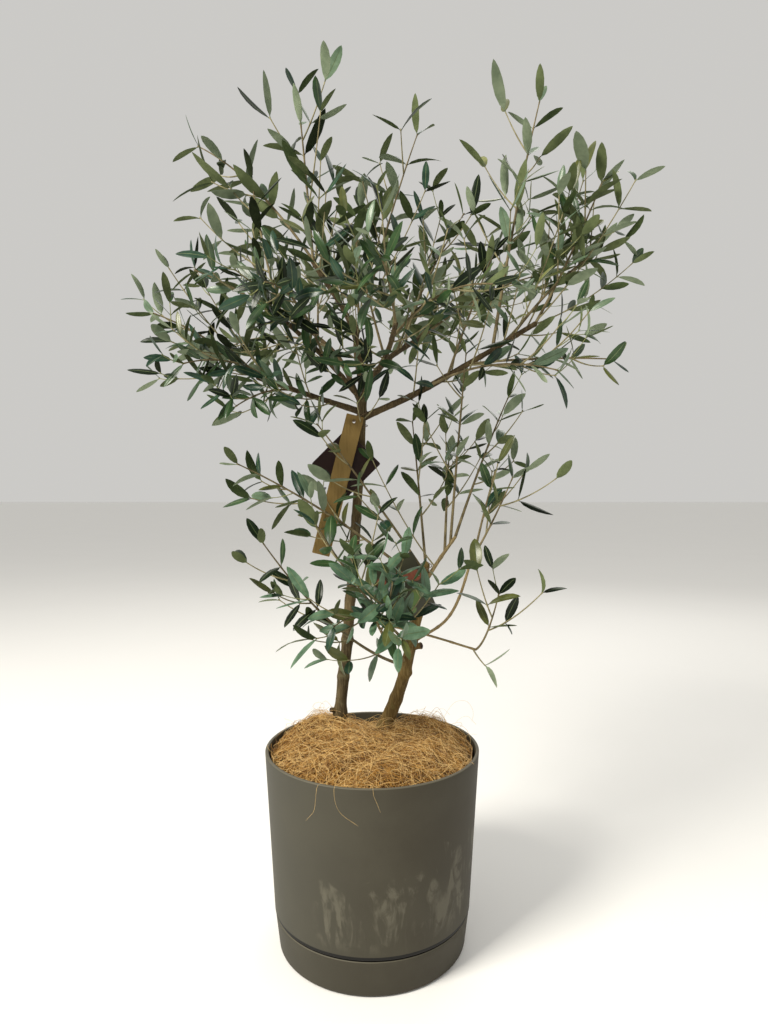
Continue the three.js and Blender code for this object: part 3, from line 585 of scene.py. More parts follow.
def coir_dome():
    """Rings of the mat from the middle outwards, closer together at the edge, and a last ring down on
    the compost. The pole at the middle is at the mat's height and the closing pole is under it."""
    share = np.append(np.sin(np.linspace(0.02, 1, DOME_RINGS) * np.pi / 2), 1.0)[:, None]
    angle = ring_angles(DOME_SIDES)[None]
    radius = share * coir_reach(angle)
    x, y = radius * np.cos(angle), radius * np.sin(angle)
    z = mat_height(x, y)
    z[-1] = SOIL_TOP + GAP
    grid = np.stack([x, y, z], axis=-1)
    poles = np.array([[0, 0, z[0].mean()], [0, 0, SOIL_TOP + GAP]])
    points = np.concatenate([grid.reshape(-1, 3), poles])
    faces = ring_faces(DOME_RINGS + 1, DOME_SIDES)
    flipped = np.where(faces[:, 3:] < 0, faces[:, [0, 2, 1, 3]], faces[:, [3, 2, 1, 0]])
    return points, flipped


# %% Colours of coconut fibre
COIR_TONES = {
    "coir_golden": ((166, 120, 52), (190, 142, 68)),
    "coir_pale": ((212, 172, 102), (236, 200, 136)),
    "coir_brown": ((102, 66, 23), (130, 87, 34)),
    "coir_dark": ((46, 26, 7), (76, 47, 17)),
}
# The felt is dark, partly the mat's own brown and partly painted shade for the gaps between the fibres.
deep = Finish("coir_felt", Roughness=0.95, Specular_IOR_Level=0.1)
strands = deep.noise(420, detail=5, distortion=3.0)
deep.set(Base_Color=deep.mix(deep.band(strands, 0.38, 0.62), paint(44, 26, 6), paint(120, 80, 30)))
deep.bump(strands, 0.9, 0.002)
fibre_sockets = {"Roughness": 0.85, "Specular_IOR_Level": 0.2, "Sheen_Weight": 0.15}
fibre_materials = [
    two_tone(name, *tones, (60, 4), **fibre_sockets).material for name, tones in COIR_TONES.items()
]
add_piece("coir_felt", coir_dome(), [deep.material], ["coir_mulch"], "coir")

# %% [markdown]
# A fibre wanders: its heading turns by an amount that itself changes slowly, so it curls one way and then
# the other, and it lies on the mat a hair above it, arched up in the middle. Adding up the headings
# gives all fibres at once. The last layers are sparse and stand up in wild loops, and a line that would
# leave the planter is held at the wall.

# %% Curled fibres
FIBRE_STEPS, FIBRE_SIDES = 13, 3
WALL_INSIDE, OVERHANG = 140.5, 3.0
WOBBLE = 0.7


def fibre_lines(rng, count, lengths, curl, arch, lift, reach):
    """Lines of points, count x steps x 3. The heading at a step is the first one plus the sum of the
    bends, and the place is the first one plus the sum of equal steps along the headings."""
    length = rng.uniform(*lengths, (count, 1))
    step = length / FIBRE_STEPS
    t = np.linspace(0, 1, FIBRE_STEPS + 1)[None]
    curve = rng.normal(0, curl, (count, 1)) + rng.normal(0, curl, (count, 1)) * np.cos(5 * t + step)
    heading = rng.uniform(0, 2 * np.pi, (count, 1)) + np.cumsum(curve * step, axis=1)
    angle = rng.uniform(0, 2 * np.pi, (count, 1))
    away = reach * coir_reach(angle) * np.sqrt(rng.uniform(0, 1, (count, 1)))
    x = away * np.cos(angle) + np.cumsum(np.cos(heading) - np.cos(heading[:, :1]) / 2, axis=1) * step
    y = away * np.sin(angle) + np.cumsum(np.sin(heading) - np.sin(heading[:, :1]) / 2, axis=1) * step
    limit = np.minimum(WALL_INSIDE, coir_reach(np.arctan2(y, x)) + OVERHANG)
    held = np.minimum(1, limit / np.maximum(np.hypot(x, y), 1))
    x, y = x * held, y * held
    hump = np.sin(np.pi * t) * rng.uniform(*arch, (count, 1))
    wobble = WOBBLE * np.sin(9 * t + rng.uniform(0, 6, (count, 1)))
    return np.stack([x, y, mat_height(x, y) + rng.uniform(*lift, (count, 1)) + hump + wobble], axis=-1)


def fibres_from(lines, radius):
    """Three-sided tubes along many lines at once: place + radius (cos a level + sin a above), with the
    first and last rings smaller."""
    count, steps = lines.shape[:2]
    tangent = unit(np.gradient(lines, axis=1))
    level, above = sides_of(tangent, np.array([0.31, 0.22, 0.93]))
    taper = np.ones(steps)
    taper[[0, -1]] = 0.3
    angle = ring_angles(FIBRE_SIDES)
    outward = np.cos(angle)[:, None] * level[:, :, None] + np.sin(angle)[:, None] * above[:, :, None]
    size = (radius * taper)[:, None, None]
    rings = (lines[:, :, None] + size * outward).reshape(count, -1, 3)
    points = np.concatenate([rings, lines[:, :1], lines[:, -1:]], axis=1)
    faces = ring_faces(steps, FIBRE_SIDES)
    shift = (np.arange(count) * points.shape[1])[:, None, None]
    return points.reshape(-1, 3), np.where(faces < 0, -1, faces[None] + shift).reshape(-1, 4)


def fibre_piece(name, rng, lines, radius, shares):
    """Fibres with one tone each, dealt out by the given shares."""
    surface = fibres_from(lines, radius)
    tone = rng.choice(len(fibre_materials), len(lines), p=shares)
    tones = np.repeat(tone, len(surface[1]) // len(lines))
    add_piece(name, surface, fibre_materials, slot="coir", tones=tones)


fibre_rng = np.random.default_rng(31)
FIBRE_LAYERS = [
    # name, count, lengths, curl, arch, lift, reach, radius, shares of the four tones
    ("under", 1700, (30, 90), 0.034, (0, 2), (-1.4, 0.4), 1.0, 0.32, [0.2, 0.04, 0.4, 0.36]),
    ("lower", 2000, (35, 100), 0.036, (0, 4), (-0.5, 1.5), 1.0, 0.29, [0.42, 0.1, 0.3, 0.18]),
    ("upper", 2300, (40, 120), 0.038, (0, 6), (0.2, 2.5), 1.0, 0.26, [0.44, 0.34, 0.16, 0.06]),
    ("loose", 700, (60, 150), 0.045, (2, 13), (0.5, 3), 0.98, 0.22, [0.34, 0.52, 0.12, 0.02]),
    ("wild", 240, (40, 105), 0.055, (9, 26), (0.5, 3), 0.99, 0.2, [0.3, 0.62, 0.08, 0.0]),
]
for name, count, lengths, curl, arch, lift, reach, radius, shares in FIBRE_LAYERS:
    lines = fibre_lines(fibre_rng, count, lengths, curl, arch, lift, reach)
    fibre_piece("coir_fibres_" + name, fibre_rng, lines, radius, shares)

# %% [markdown]
# A few single hairs hang over the front lip, and some arch up over the rim at the sides and behind. They
# are placed one by one from a handful of points each, because the eye picks out just these few.

# %% Stray hairs over the rim
HAIR_STEPS, HAIR_RADIUS = 22, 0.14
ALL_PALE = [0.0, 1.0, 0.0, 0.0]
STRAYS = [
    [(-50, -124, 262), (-62, -141, 267), (-64, -147, 255), (-66, -148, 240), (-76, -144, 226)],
    [(-34, -128, 262), (-42, -142, 267), (-42, -148, 254), (-36, -148, 238), (-14, -150, 222)],
    [(-6, -132, 263), (2, -144, 267), (4, -149.5, 258), (9, -150, 246), (12, -149.5, 238)],
    [(30, -130, 262), (36, -141, 268), (46, -140, 272), (52, -130, 268)],
    [(96, 60, 262), (108, 72, 284), (122, 76, 300), (138, 66, 304), (146, 52, 292), (142, 44, 280)],
    [(112, 44, 262), (122, 50, 280), (136, 48, 288), (148, 34, 280)],
    [(84, 84, 258), (90, 92, 276), (104, 96, 284), (116, 90, 276)],
    [(122, 10, 262), (134, 16, 272), (146, 12, 274)],
    [(-106, 50, 262), (-118, 58, 276), (-130, 56, 282)],
    [(-126, -30, 260), (-136, -34, 268), (-141, -26, 272), (-140, -14, 268)],
    [(-70, 90, 262), (-78, 98, 276), (-90, 102, 282), (-102, 96, 278)],
    [(118, -60, 260), (127, -68, 266), (130, -80, 268)],
]
hair_shares = np.linspace(0, 1, HAIR_STEPS)
stray_lines = np.stack([read_axis(spline_axis(points), hair_shares)[0] for points in STRAYS])
fibre_piece("coir_hairs", fibre_rng, stray_lines, HAIR_RADIUS, ALL_PALE)

# %% [markdown]
# Young olive bark is smooth and grey-brown, a little fluted, with low wrinkles, pale pores and a swollen
# ring with two old leaf scars every few centimetres. The relief is worked out as a radius for every
# point: the taper, a root flare with lobes at the foot, slow waves, fine wrinkles and the rings. A
# collar widens each bough where it leaves its trunk. The fine grain below a tenth of a millimetre is
# left to the material's bump.

# %% Relief of the bark
FLARE_HEIGHT, COLLAR_HEIGHT = 34.0, 9.0
BARK_WAVES = [
    # count, turns round the limb, wavelengths along it, size as a share of the radius
    (10, (0, 3), (45, 170), 0.055),
    (18, (3, 12), (9, 70), 0.012),
    (16, (6, 22), (3, 9), 0.006),
]
# The rings start on the side nearest to this direction, and no limb runs along it.
RING_START = np.array([0.2, 1.0, 0.1])


def bark_waves(rng, along, angle, count, turns, wavelengths, size):
    """A sum of cosines that close round the limb: each has a whole number of turns and runs along it
    with its own wavelength."""
    turn = rng.integers(turns[0], turns[1] + 1, count)
    number = 2 * np.pi / rng.uniform(*wavelengths, count) * rng.choice([-1, 1], count)
    phase = rng.uniform(0, 2 * np.pi, count)
    total = np.cos(turn * angle[..., None] + number * along[..., None] + phase).sum(axis=-1)
    return size * total / math.sqrt(count)


def limb_surface(axis, radii, seed, sides, step, swellings, start, flare, collar):
    """A limb's closed surface. Radius = taper + lobed flare e^(-s/h) + collar e^(-s/c) + slow waves +
    wrinkles + rings, and the tip closes over a quarter circle."""
    rng = np.random.default_rng(seed)
    rings = max(12, int(axis["length"] / step))
    cap = np.sin(np.linspace(0, np.pi / 2, 6)[1:-1])
    shares = np.concatenate([np.linspace(start, 1, rings), np.ones(len(cap))])
    along = (shares * axis["length"])[:, None] + np.zeros(sides)[None]
    angle = ring_angles(sides)[None] + np.zeros(len(shares))[:, None]
    thick = radii[0] + (radii[1] - radii[0]) * shares[:, None]
    lobes = 1 + 0.22 * np.cos(3 * angle + 0.7) + 0.13 * np.cos(5 * angle - 0.4)
    radius = thick + flare * np.exp(-along / FLARE_HEIGHT) * lobes
    radius = radius + collar * np.exp(-along / COLLAR_HEIGHT)
    for count, turns, wavelengths, size in BARK_WAVES:
        radius = radius + bark_waves(rng, along, angle, count, turns, wavelengths, size) * thick
    for centre, reach, height, facing in swellings:
        ring = np.exp(-(((along - centre) / reach) ** 2))
        scar = 0.5 + 0.5 * np.cos(angle - facing) ** 2
        radius = radius + height * ring * scar
    points, faces = tube(axis, shares, radius, sides, RING_START, dome=0)
    tip, forward = read_axis(axis, np.array([1.0]))
    end = slice(rings * sides, (rings + len(cap)) * sides)
    tail = points[end].reshape(len(cap), sides, 3)
    narrowed = tip + (tail - tip) * np.sqrt(1 - cap**2)[:, None, None]
    points[end] = (narrowed + forward * (cap * radii[1])[:, None, None]).reshape(-1, 3)
    points[-1] = (tip + forward * radii[1])[0]
    return points, faces


# %% Axes of the trunks and boughs
TRUNKS = {
    "trunk_left": {
        "through": [[-54, 63, SOIL_TOP - 12], [-33, 51, 450], [-18, 34, 660], [-13, 24, 764]],
        "radii": (8.6, 5.9),
        "flare": 4.5,
    },
    "trunk_right": {
        "through": [[-2, 40, SOIL_TOP - 12], [36, 25, 328], [60, 8, 430], [73, -2, 512]],
        "radii": (10.2, 6.0),
        "flare": 4.0,
    },
}
BOUGHS = [
    # name, grows from, share of its length, middle, tip, radii at foot and tip
    ("bough_leader", "trunk_left", 1, [-27, 17, 838], [-79, -10, 921], (4.6, 3.2)),
    ("bough_right_back", "trunk_left", 0.985, [20, 72, 805], [80, 150, 859], (5, 3.4)),
    ("bough_centre", "trunk_left", 0.97, [-24, 52, 826], [-7, 78, 899], (4, 3)),
    ("bough_right", "trunk_left", 0.91, [66, 8, 751], [216, -22, 835], (4.8, 3.2)),
    ("bough_left", "trunk_left", 0.925, [-75, 10, 742], [-150, -30, 763], (4.2, 3)),
    ("bough_left_high", "trunk_left", 0.955, [-62, -22, 790], [-112, -58, 832], (3.8, 2.9)),
    ("bough_left_back", "trunk_left", 0.94, [-52, 84, 812], [-98, 136, 862], (3.8, 2.9)),
    ("bough_front", "trunk_left", 0.965, [20, -50, 792], [30, -120, 812], (3.8, 2.9)),
    ("bough_low_right", "trunk_right", 0.9, [92, -8, 522], [112, -15, 552], (3.8, 3)),
    ("bough_low_side", "trunk_right", 0.62, [104, -20, 446], [138, -42, 548], (2.9, 2.3)),
    ("bough_low_front", "trunk_right", 0.515, [22, -16, 408], [6, -36, 440], (3.2, 2.6)),
    ("bough_low_arc", "bough_low_front", 1, [70, -56, 428], [134, -62, 410], (2.2, 1.9)),
]
limb_axes = {name: spline_axis(row["through"]) for name, row in TRUNKS.items()}
for name, carrier, share, middle, tip, _ in BOUGHS:
    limb_axes[name] = spline_axis([place_on(limb_axes[carrier], share), middle, tip])
print("limbs:", {name: round(axis["length"]) for name, axis in limb_axes.items()})

# %% [markdown]
# The two trunks differ: the left one is darker and greyer, the right one tan. Old and young boughs have
# barks of their own. Each gets a fine grain along the limb, darker hollows, scattered pale pores and a
# bloom in patches.

# %% Bark finishes
def bark(name, dark, body, light, bloom):
    """Dark hollows in the body colour, then light grain, patches of bloom and light pores over it."""
    finish = Finish(name, Roughness=0.86, Specular_IOR_Level=0.25)
    patch = finish.noise(38, detail=5, roughness=0.6, stretch=(1, 1, 0.5))
    streak = finish.noise(420, detail=4, distortion=0.6, stretch=(1, 1, 0.12))
    pores = finish.band(finish.cells(300, stretch=(1, 1, 1.7)), 0.16, 0.05)
    colour = finish.mix(finish.band(patch, 0.3, 0.72), dark, body)
    colour = finish.wash(colour, light, finish.band(streak, 0.42, 0.8), 0.6)
    colour = finish.wash(colour, bloom, finish.band(finish.noise(70, detail=3), 0.55, 0.75), 0.5)
    finish.set(Base_Color=finish.wash(colour, light, pores, 0.55))
    finish.bump(finish.math("ADD", streak, finish.times(pores, 0.7)), 0.7, 0.0006)
    return finish.material


BARKS = {
    # the colours of the hollows, the body, the grain and the bloom
    "bark_grey_brown": [(58, 48, 29), (92, 78, 51), (124, 110, 80), (110, 104, 76)],
    "bark_tan": [(74, 57, 28), (116, 96, 53), (154, 131, 86), (114, 107, 62)],
    "bark_bough": [(52, 42, 27), (84, 70, 46), (118, 102, 72), (100, 92, 64)],
    "bark_young": [(104, 88, 58), (142, 124, 88), (168, 152, 114), (126, 118, 82)],
}
bark_dark, bark_pale, bark_bough, bark_young = (
    bark(name, *(paint(*colour) for colour in colours)) for name, colours in BARKS.items()
)
cut_wood = two_tone("cut_wood", (34, 24, 18), (82, 60, 42), (300,), Roughness=0.9)

# %% Bark of the trunks
# Each ring on a trunk: how far along it in millimetres, its reach, its relief and the side it faces.
TRUNK_RINGS = {
    "trunk_left": [(58, 9, 3.0, 0.8), (112, 5, 0.9, 2.0), (167, 6, 1.9, 1.2), (226, 6, 0.9, 2.6),
                   (290, 5, 1.0, 0.4), (346, 6, 0.8, 1.6), (398, 5, 1.1, 2.4), (446, 5, 0.9, 0.9),
                   (494, 6, 1.3, 1.8)],
    "trunk_right": [(44, 6, 1.0, 1.9), (96, 6, 1.3, 0.6), (139, 5, 2.6, 1.2), (188, 7, 1.8, 2.2),
                    (226, 5, 1.1, 0.5), (262, 6, 1.5, 1.4)],
}
TRUNK_SIDES, TRUNK_STEP = 64, 1.7


def limb_piece(name, radii, rings, material, slot, sides, step, start=0.0, flare=0.0, collar=0.0):
    """The bark of one limb in place of its solid. Its name gives the seed of its relief."""
    seed = sum(map(ord, name))
    surface = limb_surface(limb_axes[name], radii, seed, sides, step, rings, start, flare, collar)
    add_piece(name + "_bark", surface, [material], [name], slot)


for name, material, slot in (("trunk_left", bark_dark, "bark_dark"), ("trunk_right", bark_pale, "bark_pale")):
    ground = np.interp(SOIL_TOP + GAP, limb_axes[name]["line"][:, 2], limb_axes[name]["share"])
    limb_piece(name, TRUNKS[name]["radii"], TRUNK_RINGS[name], material, slot, TRUNK_SIDES, TRUNK_STEP,
               start=float(ground), flare=TRUNKS[name]["flare"])

# %% Bark of the boughs
BOUGH_SIDES, BOUGH_STEP = 28, 1.6
# Rings on the boughs: the first one's place, their spacing, reach, relief and turn from one to the next.
FIRST_NODE, NODE_SPACING, NODE_REACH, NODE_RELIEF, NODE_TURN = 22, 27.0, 2.6, 0.16, 1.3
YOUNG_SHARE, COLLAR = 0.72, 1.2

for name, *_, radii in BOUGHS:
    places = np.arange(FIRST_NODE, limb_axes[name]["length"], NODE_SPACING)
    rings = [(place, NODE_REACH, NODE_RELIEF * radii[1], NODE_TURN * i) for i, place in enumerate(places)]
    young = name.startswith("bough_low")
    slim = YOUNG_SHARE * np.array(radii) if young else radii
    finish = bark_young if young else bark_bough
    limb_piece(name, slim, rings, finish, "bark_pale", BOUGH_SIDES, BOUGH_STEP, collar=COLLAR)

# %% [markdown]
# Where shoots were cut off, short pegs are left. The one that shows best is on the right trunk: a knob
# as thick as a finger, with a dark hollow in its cut face.

# %% Pruned pegs
PEGS = [
    # on, share of its length, direction, length, radius
    ("trunk_right", 0.6, (0.8, -0.56, 0.2), 12, 4.2),
    ("trunk_left", 0.115, (-0.8, -0.55, 0.2), 11, 3.2),
    ("trunk_left", 0.52, (0.7, -0.6, 0.4), 9, 2.0),
]
PEG_SIDES, PEG_ROOT = 20, 6
PEG_SHARES = np.array([0, 0.2, 0.35, 0.5, 0.65, 0.8, 0.9, 0.96, 1.0, 0.995, 0.93, 0.88])
PEG_SWELL = np.array([1.6, 1.45, 1.25, 1.08, 1.0, 1.02, 1.1, 1.08, 0.92, 0.6, 0.45, 0.1])
CUT_FROM_RING = 8


def peg(on, share, direction, length, radius):
    """A short tube that is wider at its foot, with a rolled lip and a hollow where it was cut, and for
    each face whether it is cut wood."""
    foot = place_on(limb_axes[on], share)
    axis = axis_of(foot + unit(np.array(direction)) * np.linspace(0, PEG_ROOT + length, 40)[:, None])
    angle = ring_angles(PEG_SIDES)
    uneven = 1 + 0.06 * np.cos(2 * angle + 9 * share) + 0.03 * np.cos(5 * angle)
    points, faces = tube(axis, PEG_SHARES, radius * PEG_SWELL[:, None] * uneven, PEG_SIDES, UP + 0.2, dome=0)
    foot_pole = PEG_SIDES * len(PEG_SHARES)
    return (points, faces), (faces[:, 0] >= CUT_FROM_RING * PEG_SIDES) & (faces[:, 0] != foot_pole)


for number, row in enumerate(PEGS):
    surface, cut = peg(*row)
    body = bark_pale if row[0] == "trunk_right" else bark_dark
    add_piece(f"peg_{number + 1}", surface, [body, cut_wood.material], slot="bark_pale", tones=cut)

# %% [markdown]
# Three labels hang on the trunks: a long plain board, a dark square card hung by a corner and a larger
# leaning one with a pattern of dots. Each is a thin plate with rounded corners and a punched hole, a
# little bowed as card is, on a loop of thin string round the trunk.

# %% Plates
HOLE_RADIUS, HALF_THICKNESS = 2.2, 0.6
# The front's loops of points: how far each lies from the hole to the edge, and its depth, -1 at the face.
FRONT_SHARES = np.array([0, 0.05, 0.2, 0.4, 0.6, 0.8, 0.97, 1.0])
FRONT_DEPTHS = np.array([-0.5, -1, -1, -1, -1, -1, -1, -0.5])


def rounded_outline(width, height, corner):
    """Points round a rectangle with rounded corners: four quarter circles, with points on the straight
    sides between them."""
    corners = [(1, 1), (-1, 1), (-1, -1), (1, -1)]
    arcs = []
    for quarter, (right, high) in enumerate(corners):
        angle = (quarter + np.linspace(0, 1, 7)) * np.pi / 2
        middle = np.array([right * (width / 2 - corner), high * (height / 2 - corner)])
        arcs.append(middle + corner * np.stack([np.cos(angle), np.sin(angle)], axis=-1))
    parts = []
    for here, onward in zip(arcs, arcs[1:] + arcs[:1]):
        share = np.linspace(0, 1, 14)[1:-1, None]
        parts += [here, here[-1] * (1 - share) + onward[0] * share]
    return np.concatenate(parts)


def hung(centre, turn, u, v):
    """World x and z of a place on a plate: x = cx + u cos(turn) + v sin(turn) and
    z = cz - u sin(turn) + v cos(turn)."""
    cos, sin = math.cos(turn), math.sin(turn)
    return centre[0] + u * cos + v * sin, centre[2] - u * sin + v * cos


def plate(centre, width, height, corner, turn, hole, bow):
    """A plate in the upright plane: loops of points go from the hole to the edge in front, over the
    edge, and back to the hole behind. The bow puts its ends back by a square law."""
    edge = rounded_outline(width, height, corner)
    spoke = np.arctan2(edge[:, 1] - hole[1], edge[:, 0] - hole[0])
    rim = np.array(hole) + HOLE_RADIUS * np.stack([np.cos(spoke), np.sin(spoke)], axis=-1)
    share = np.concatenate([FRONT_SHARES, FRONT_SHARES[::-1]])[:, None, None]
    depth = HALF_THICKNESS * np.concatenate([FRONT_DEPTHS, -FRONT_DEPTHS[::-1]])
    flat = rim + (edge - rim) * share
    u, v = flat[..., 0], flat[..., 1]
    x, z = hung(centre, turn, u, v)
    y = centre[1] + depth[:, None] + bow * (2 * v / height) ** 2
    count = len(edge)
    i, k = np.meshgrid(np.arange(len(depth)), np.arange(count), indexing="ij")
    after, onward = (k + 1) % count, (i + 1) % len(depth)
    faces = np.stack([i * count + k, onward * count + k, onward * count + after, i * count + after], -1)
    return np.stack([x, y, z], axis=-1).reshape(-1, 3), faces.reshape(-1, 4)


# %% Strings
STRING_RISE, STRING_CLEARANCE, STRING_RADIUS = 14.0, 8.5, 0.55
KNOT_RADIUS, KNOT_HALF = 1.5, 2.2
STRING_SIDE = np.array([0.1, 0.3, 1.0])


def string(hole, trunk):
    """A loop from the hole round the trunk and back, a little higher, with a small knot in front."""
    hole = np.array(hole, dtype=float)
    axis = limb_axes[trunk]
    middle = place_on(axis, float(np.interp(hole[2] + STRING_RISE, axis["line"][:, 2], axis["share"])))
    turns = np.linspace(-0.3, 1.3, 8) * np.pi
    round_trunk = np.stack([np.cos(turns), np.sin(turns), 0.3 * np.sin(turns)], axis=-1)
    bend = middle + STRING_CLEARANCE * round_trunk
    front = hole + [0, -1.8, 0.6]
    loop = spline_axis([front, hole + [1, 1.6, 3], *bend, hole + [-1, 1.6, 3], front])
    cord = tube(loop, np.linspace(0, 1, 160), STRING_RADIUS, 6, STRING_SIDE)
    knot = axis_of(front + np.linspace(-KNOT_HALF, KNOT_HALF, 20)[:, None] * np.array([1, 0.1, 0.2]))
    swell = KNOT_RADIUS * np.sqrt(1 - np.linspace(-0.96, 0.96, 9) ** 2)
    return join([cord, tube(knot, np.linspace(0, 1, 9), swell, 8, STRING_SIDE, dome=0.1)])


# %% Finishes of the labels
board = Finish("kraft_board", Roughness=0.8, Specular_IOR_Level=0.3)
board_fibre = board.noise(500, detail=4, distortion=0.4, stretch=(1, 1, 0.06))
board_colour = board.mix(board.noise(14, detail=3), paint(116, 94, 50), paint(134, 110, 62))
board.set(Base_Color=board.mix(board.band(board_fibre, 0.5, 0.8), board_colour, paint(96, 76, 38)))
board.bump(board_fibre, 0.3, 0.0003)
card = two_tone("dark_card", (27, 12, 9), (42, 22, 16), (30, 4), Roughness=0.45, Specular_IOR_Level=0.2)
card.bump(card.noise(700), 0.15, 0.0002)
# The low card is dark, with round dots that are rust above and green below.
print_card = Finish("printed_card", Roughness=0.35, Specular_IOR_Level=0.5)
ground = print_card.mix(print_card.noise(30, detail=3), paint(32, 27, 17), paint(54, 56, 32))
lower_half = print_card.along("Z", 0.49, 0.474)
dot_colour = print_card.mix(lower_half, paint(118, 64, 45), paint(82, 108, 52))
dots = print_card.band(print_card.cells(52), 0.46, 0.38)
print_card.set(Base_Color=print_card.mix(dots, ground, dot_colour))
twine = two_tone("twine", (70, 56, 40), (130, 110, 82), (800,), Roughness=0.9)

# %% The three labels
LABELS = [
    # node, trunk, finish, slot, and then centre, width, height, corner, turn, hole, bow
    ("tag_strip", "trunk_left", board, "tag_board", (-48, 17, 622), 25, 200, 1.2, 0.247, (0, 91), 1.5),
    ("tag_card_high", "trunk_left", card, "tag_card", (-37, 22, 652), 68.5, 68.5, 2.5, -math.pi / 4,
     (28, 28), 1.0),
    ("tag_card_low", "trunk_right", print_card, "tag_card", (41, -12, 481), 66, 84, 2.5, -0.42,
     (27, 10), 0.8),
]
for node, trunk, finish, slot, *sizes in LABELS:
    label = plate(*sizes)
    centre, _, _, _, turn, hole, _ = sizes
    hole_x, hole_z = hung(centre, turn, *hole)
    loop = string((hole_x, centre[1], hole_z), trunk)
    tones = np.repeat([0, 1], [len(label[1]), len(loop[1])])
    add_piece(node + "_plate", join([label, loop]), [finish.material, twine.material], [node], slot,
              tones=tones, sharp=40)

# %% [markdown]
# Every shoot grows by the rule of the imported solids, drawn from the same stream of numbers, so stems and
# side twigs lie where the solids have them. There each broad leaf stands for a small spray. Here some
# become a fine twig whose real leaves reach as far, and more pairs of leaves sit between. Other numbers
# would do for a tree on its own, but then the crown would no longer match its solids.

# %% Sizes of the growth rule
SEED = 2214
LEAF_LENGTH, LEAF_LEAST, LEAF_LENGTH_SPREAD, LEAF_SPACING = 74.0, 0.82, 0.36, 34.0
LEAF_ANGLE, LEAF_TIP_ANGLE, LEAF_ANGLE_SPREAD, LEAF_TURN_SPREAD = 0.86, 0.6, 0.3, 0.4
TWIG_SPACING, TWIG_ANGLE, TWIG_ANGLE_SPREAD, TWIG_TURN_SPREAD = 52.0, 0.78, 0.25, 1.2
TWIG_LENGTH, TWIG_LEAST, TWIG_LENGTH_SPREAD, TWIG_SHORTENING = 92.0, 0.75, 0.4, 0.5
TWIG_RISE, TWIG_ARCH, TWIG_BARE = 0.22, -0.06, 0.3
STEM_BARE, STEM_LEAFLESS, STEM_TWIGS_END = 0.3, 0.45, 0.9
TIP_GAP = 2.4
MASSES = [
    # name, grows from, share of its length, tip, arch
    ("top_leader", "bough_leader", 1, [-98, -20, 1138], 0.05),
    ("left_top", "bough_leader", 0.6, [-246, 40, 1098], 0.1),
    ("left_upper", "bough_left_high", 1, [-167, 20, 1044], -0.08),
    ("left_mid", "bough_left_high", 0.66, [-213, -106, 880], 0.06),
    ("left_far", "bough_left", 1, [-278, -60, 840], 0.06),
    ("left_low", "bough_left", 0.8, [-232, -92, 770], 0.12),
    ("left_droop", "bough_left", 0.55, [-176, -52, 722], 0.12),
    ("left_back", "bough_left_back", 1, [-200, 160, 985], -0.06),
    ("left_back_low", "bough_left_back", 0.7, [-240, 160, 838], 0.1),
    ("back_left", "bough_left_back", 0.88, [-96, 246, 1000], -0.04),
    ("front_left", "bough_left_high", 0.55, [-112, -200, 838], 0.12),
    ("front_centre", "bough_front", 1, [12, -240, 852], 0.1),
    ("front_right", "bough_front", 0.78, [132, -205, 834], 0.12),
    ("centre_front", "bough_front", 0.5, [-20, -95, 925], -0.04),
    ("centre_tall", "bough_centre", 1, [64, 58, 1124], 0.04),
    ("centre_back", "bough_centre", 0.7, [-36, 170, 1040], 0.04),
    ("centre_right", "bough_right_back", 0.55, [132, 66, 1015], 0.06),
    ("right_tall", "bough_right", 0.76, [226, 2, 1140], 0.05),
    ("right_top", "bough_right", 1, [300, -34, 1016], -0.04),
    ("right_far", "bough_right", 0.86, [334, -22, 946], 0.1),
    ("right_low", "bough_right", 0.62, [304, -70, 780], 0.02),
    ("right_low_front", "bough_right", 0.4, [216, -150, 752], 0.08),
    ("right_mid", "bough_right", 0.5, [150, -100, 905], 0.02),
    ("right_back", "bough_right_back", 1, [292, 160, 960], 0.08),
    ("back_right", "bough_right_back", 0.82, [196, 262, 960], 0.05),
    ("back_centre", "bough_right_back", 0.7, [62, 276, 960], 0.06),
    ("low_left_high", "trunk_right", 0.965, [-70, -60, 700], 0.02),
    ("low_left_mid", "trunk_right", 0.91, [-178, -34, 650], 0.04),
    ("low_left_low", "trunk_right", 0.5, [-136, -84, 550], -0.1),
    ("low_left_front", "trunk_right", 0.6, [-66, -120, 574], -0.04),
    ("low_front", "bough_low_front", 0.97, [-44, -128, 452], 0.1),
    ("low_front_up", "bough_low_front", 0.85, [26, -146, 508], -0.08),
    ("low_right_hang", "bough_low_arc", 1, [160, -84, 486], -0.16),
    ("low_right_up", "bough_low_side", 1, [158, -62, 640], 0.02),
    ("low_right_far", "bough_low_side", 0.85, [180, -66, 632], -0.04),
    ("low_right_long", "bough_low_right", 1, [196, 60, 750], 0.03),
    ("low_tall", "bough_low_right", 0.86, [127, -6, 801], 0.03),
    ("low_back", "bough_low_right", 0.7, [119, 150, 682], 0.04),
    ("low_mid", "trunk_right", 1, [58, 84, 718], 0.02),
]


# %% Stems and side twigs by the rule
def random_stream(seed):
    """Numbers from 0 to 1: a counter grows by a fixed step, and shifts and products modulo 2^32 mix it."""
    state = seed
    while True:
        state = (state + 0x6D2B79F5) & 0xFFFFFFFF
        mixed = (state ^ (state >> 15)) * (state | 1) & 0xFFFFFFFF
        mixed ^= mixed + ((mixed ^ (mixed >> 7)) * (mixed | 61) & 0xFFFFFFFF) & 0xFFFFFFFF
        yield (mixed ^ (mixed >> 14)) / 2**32


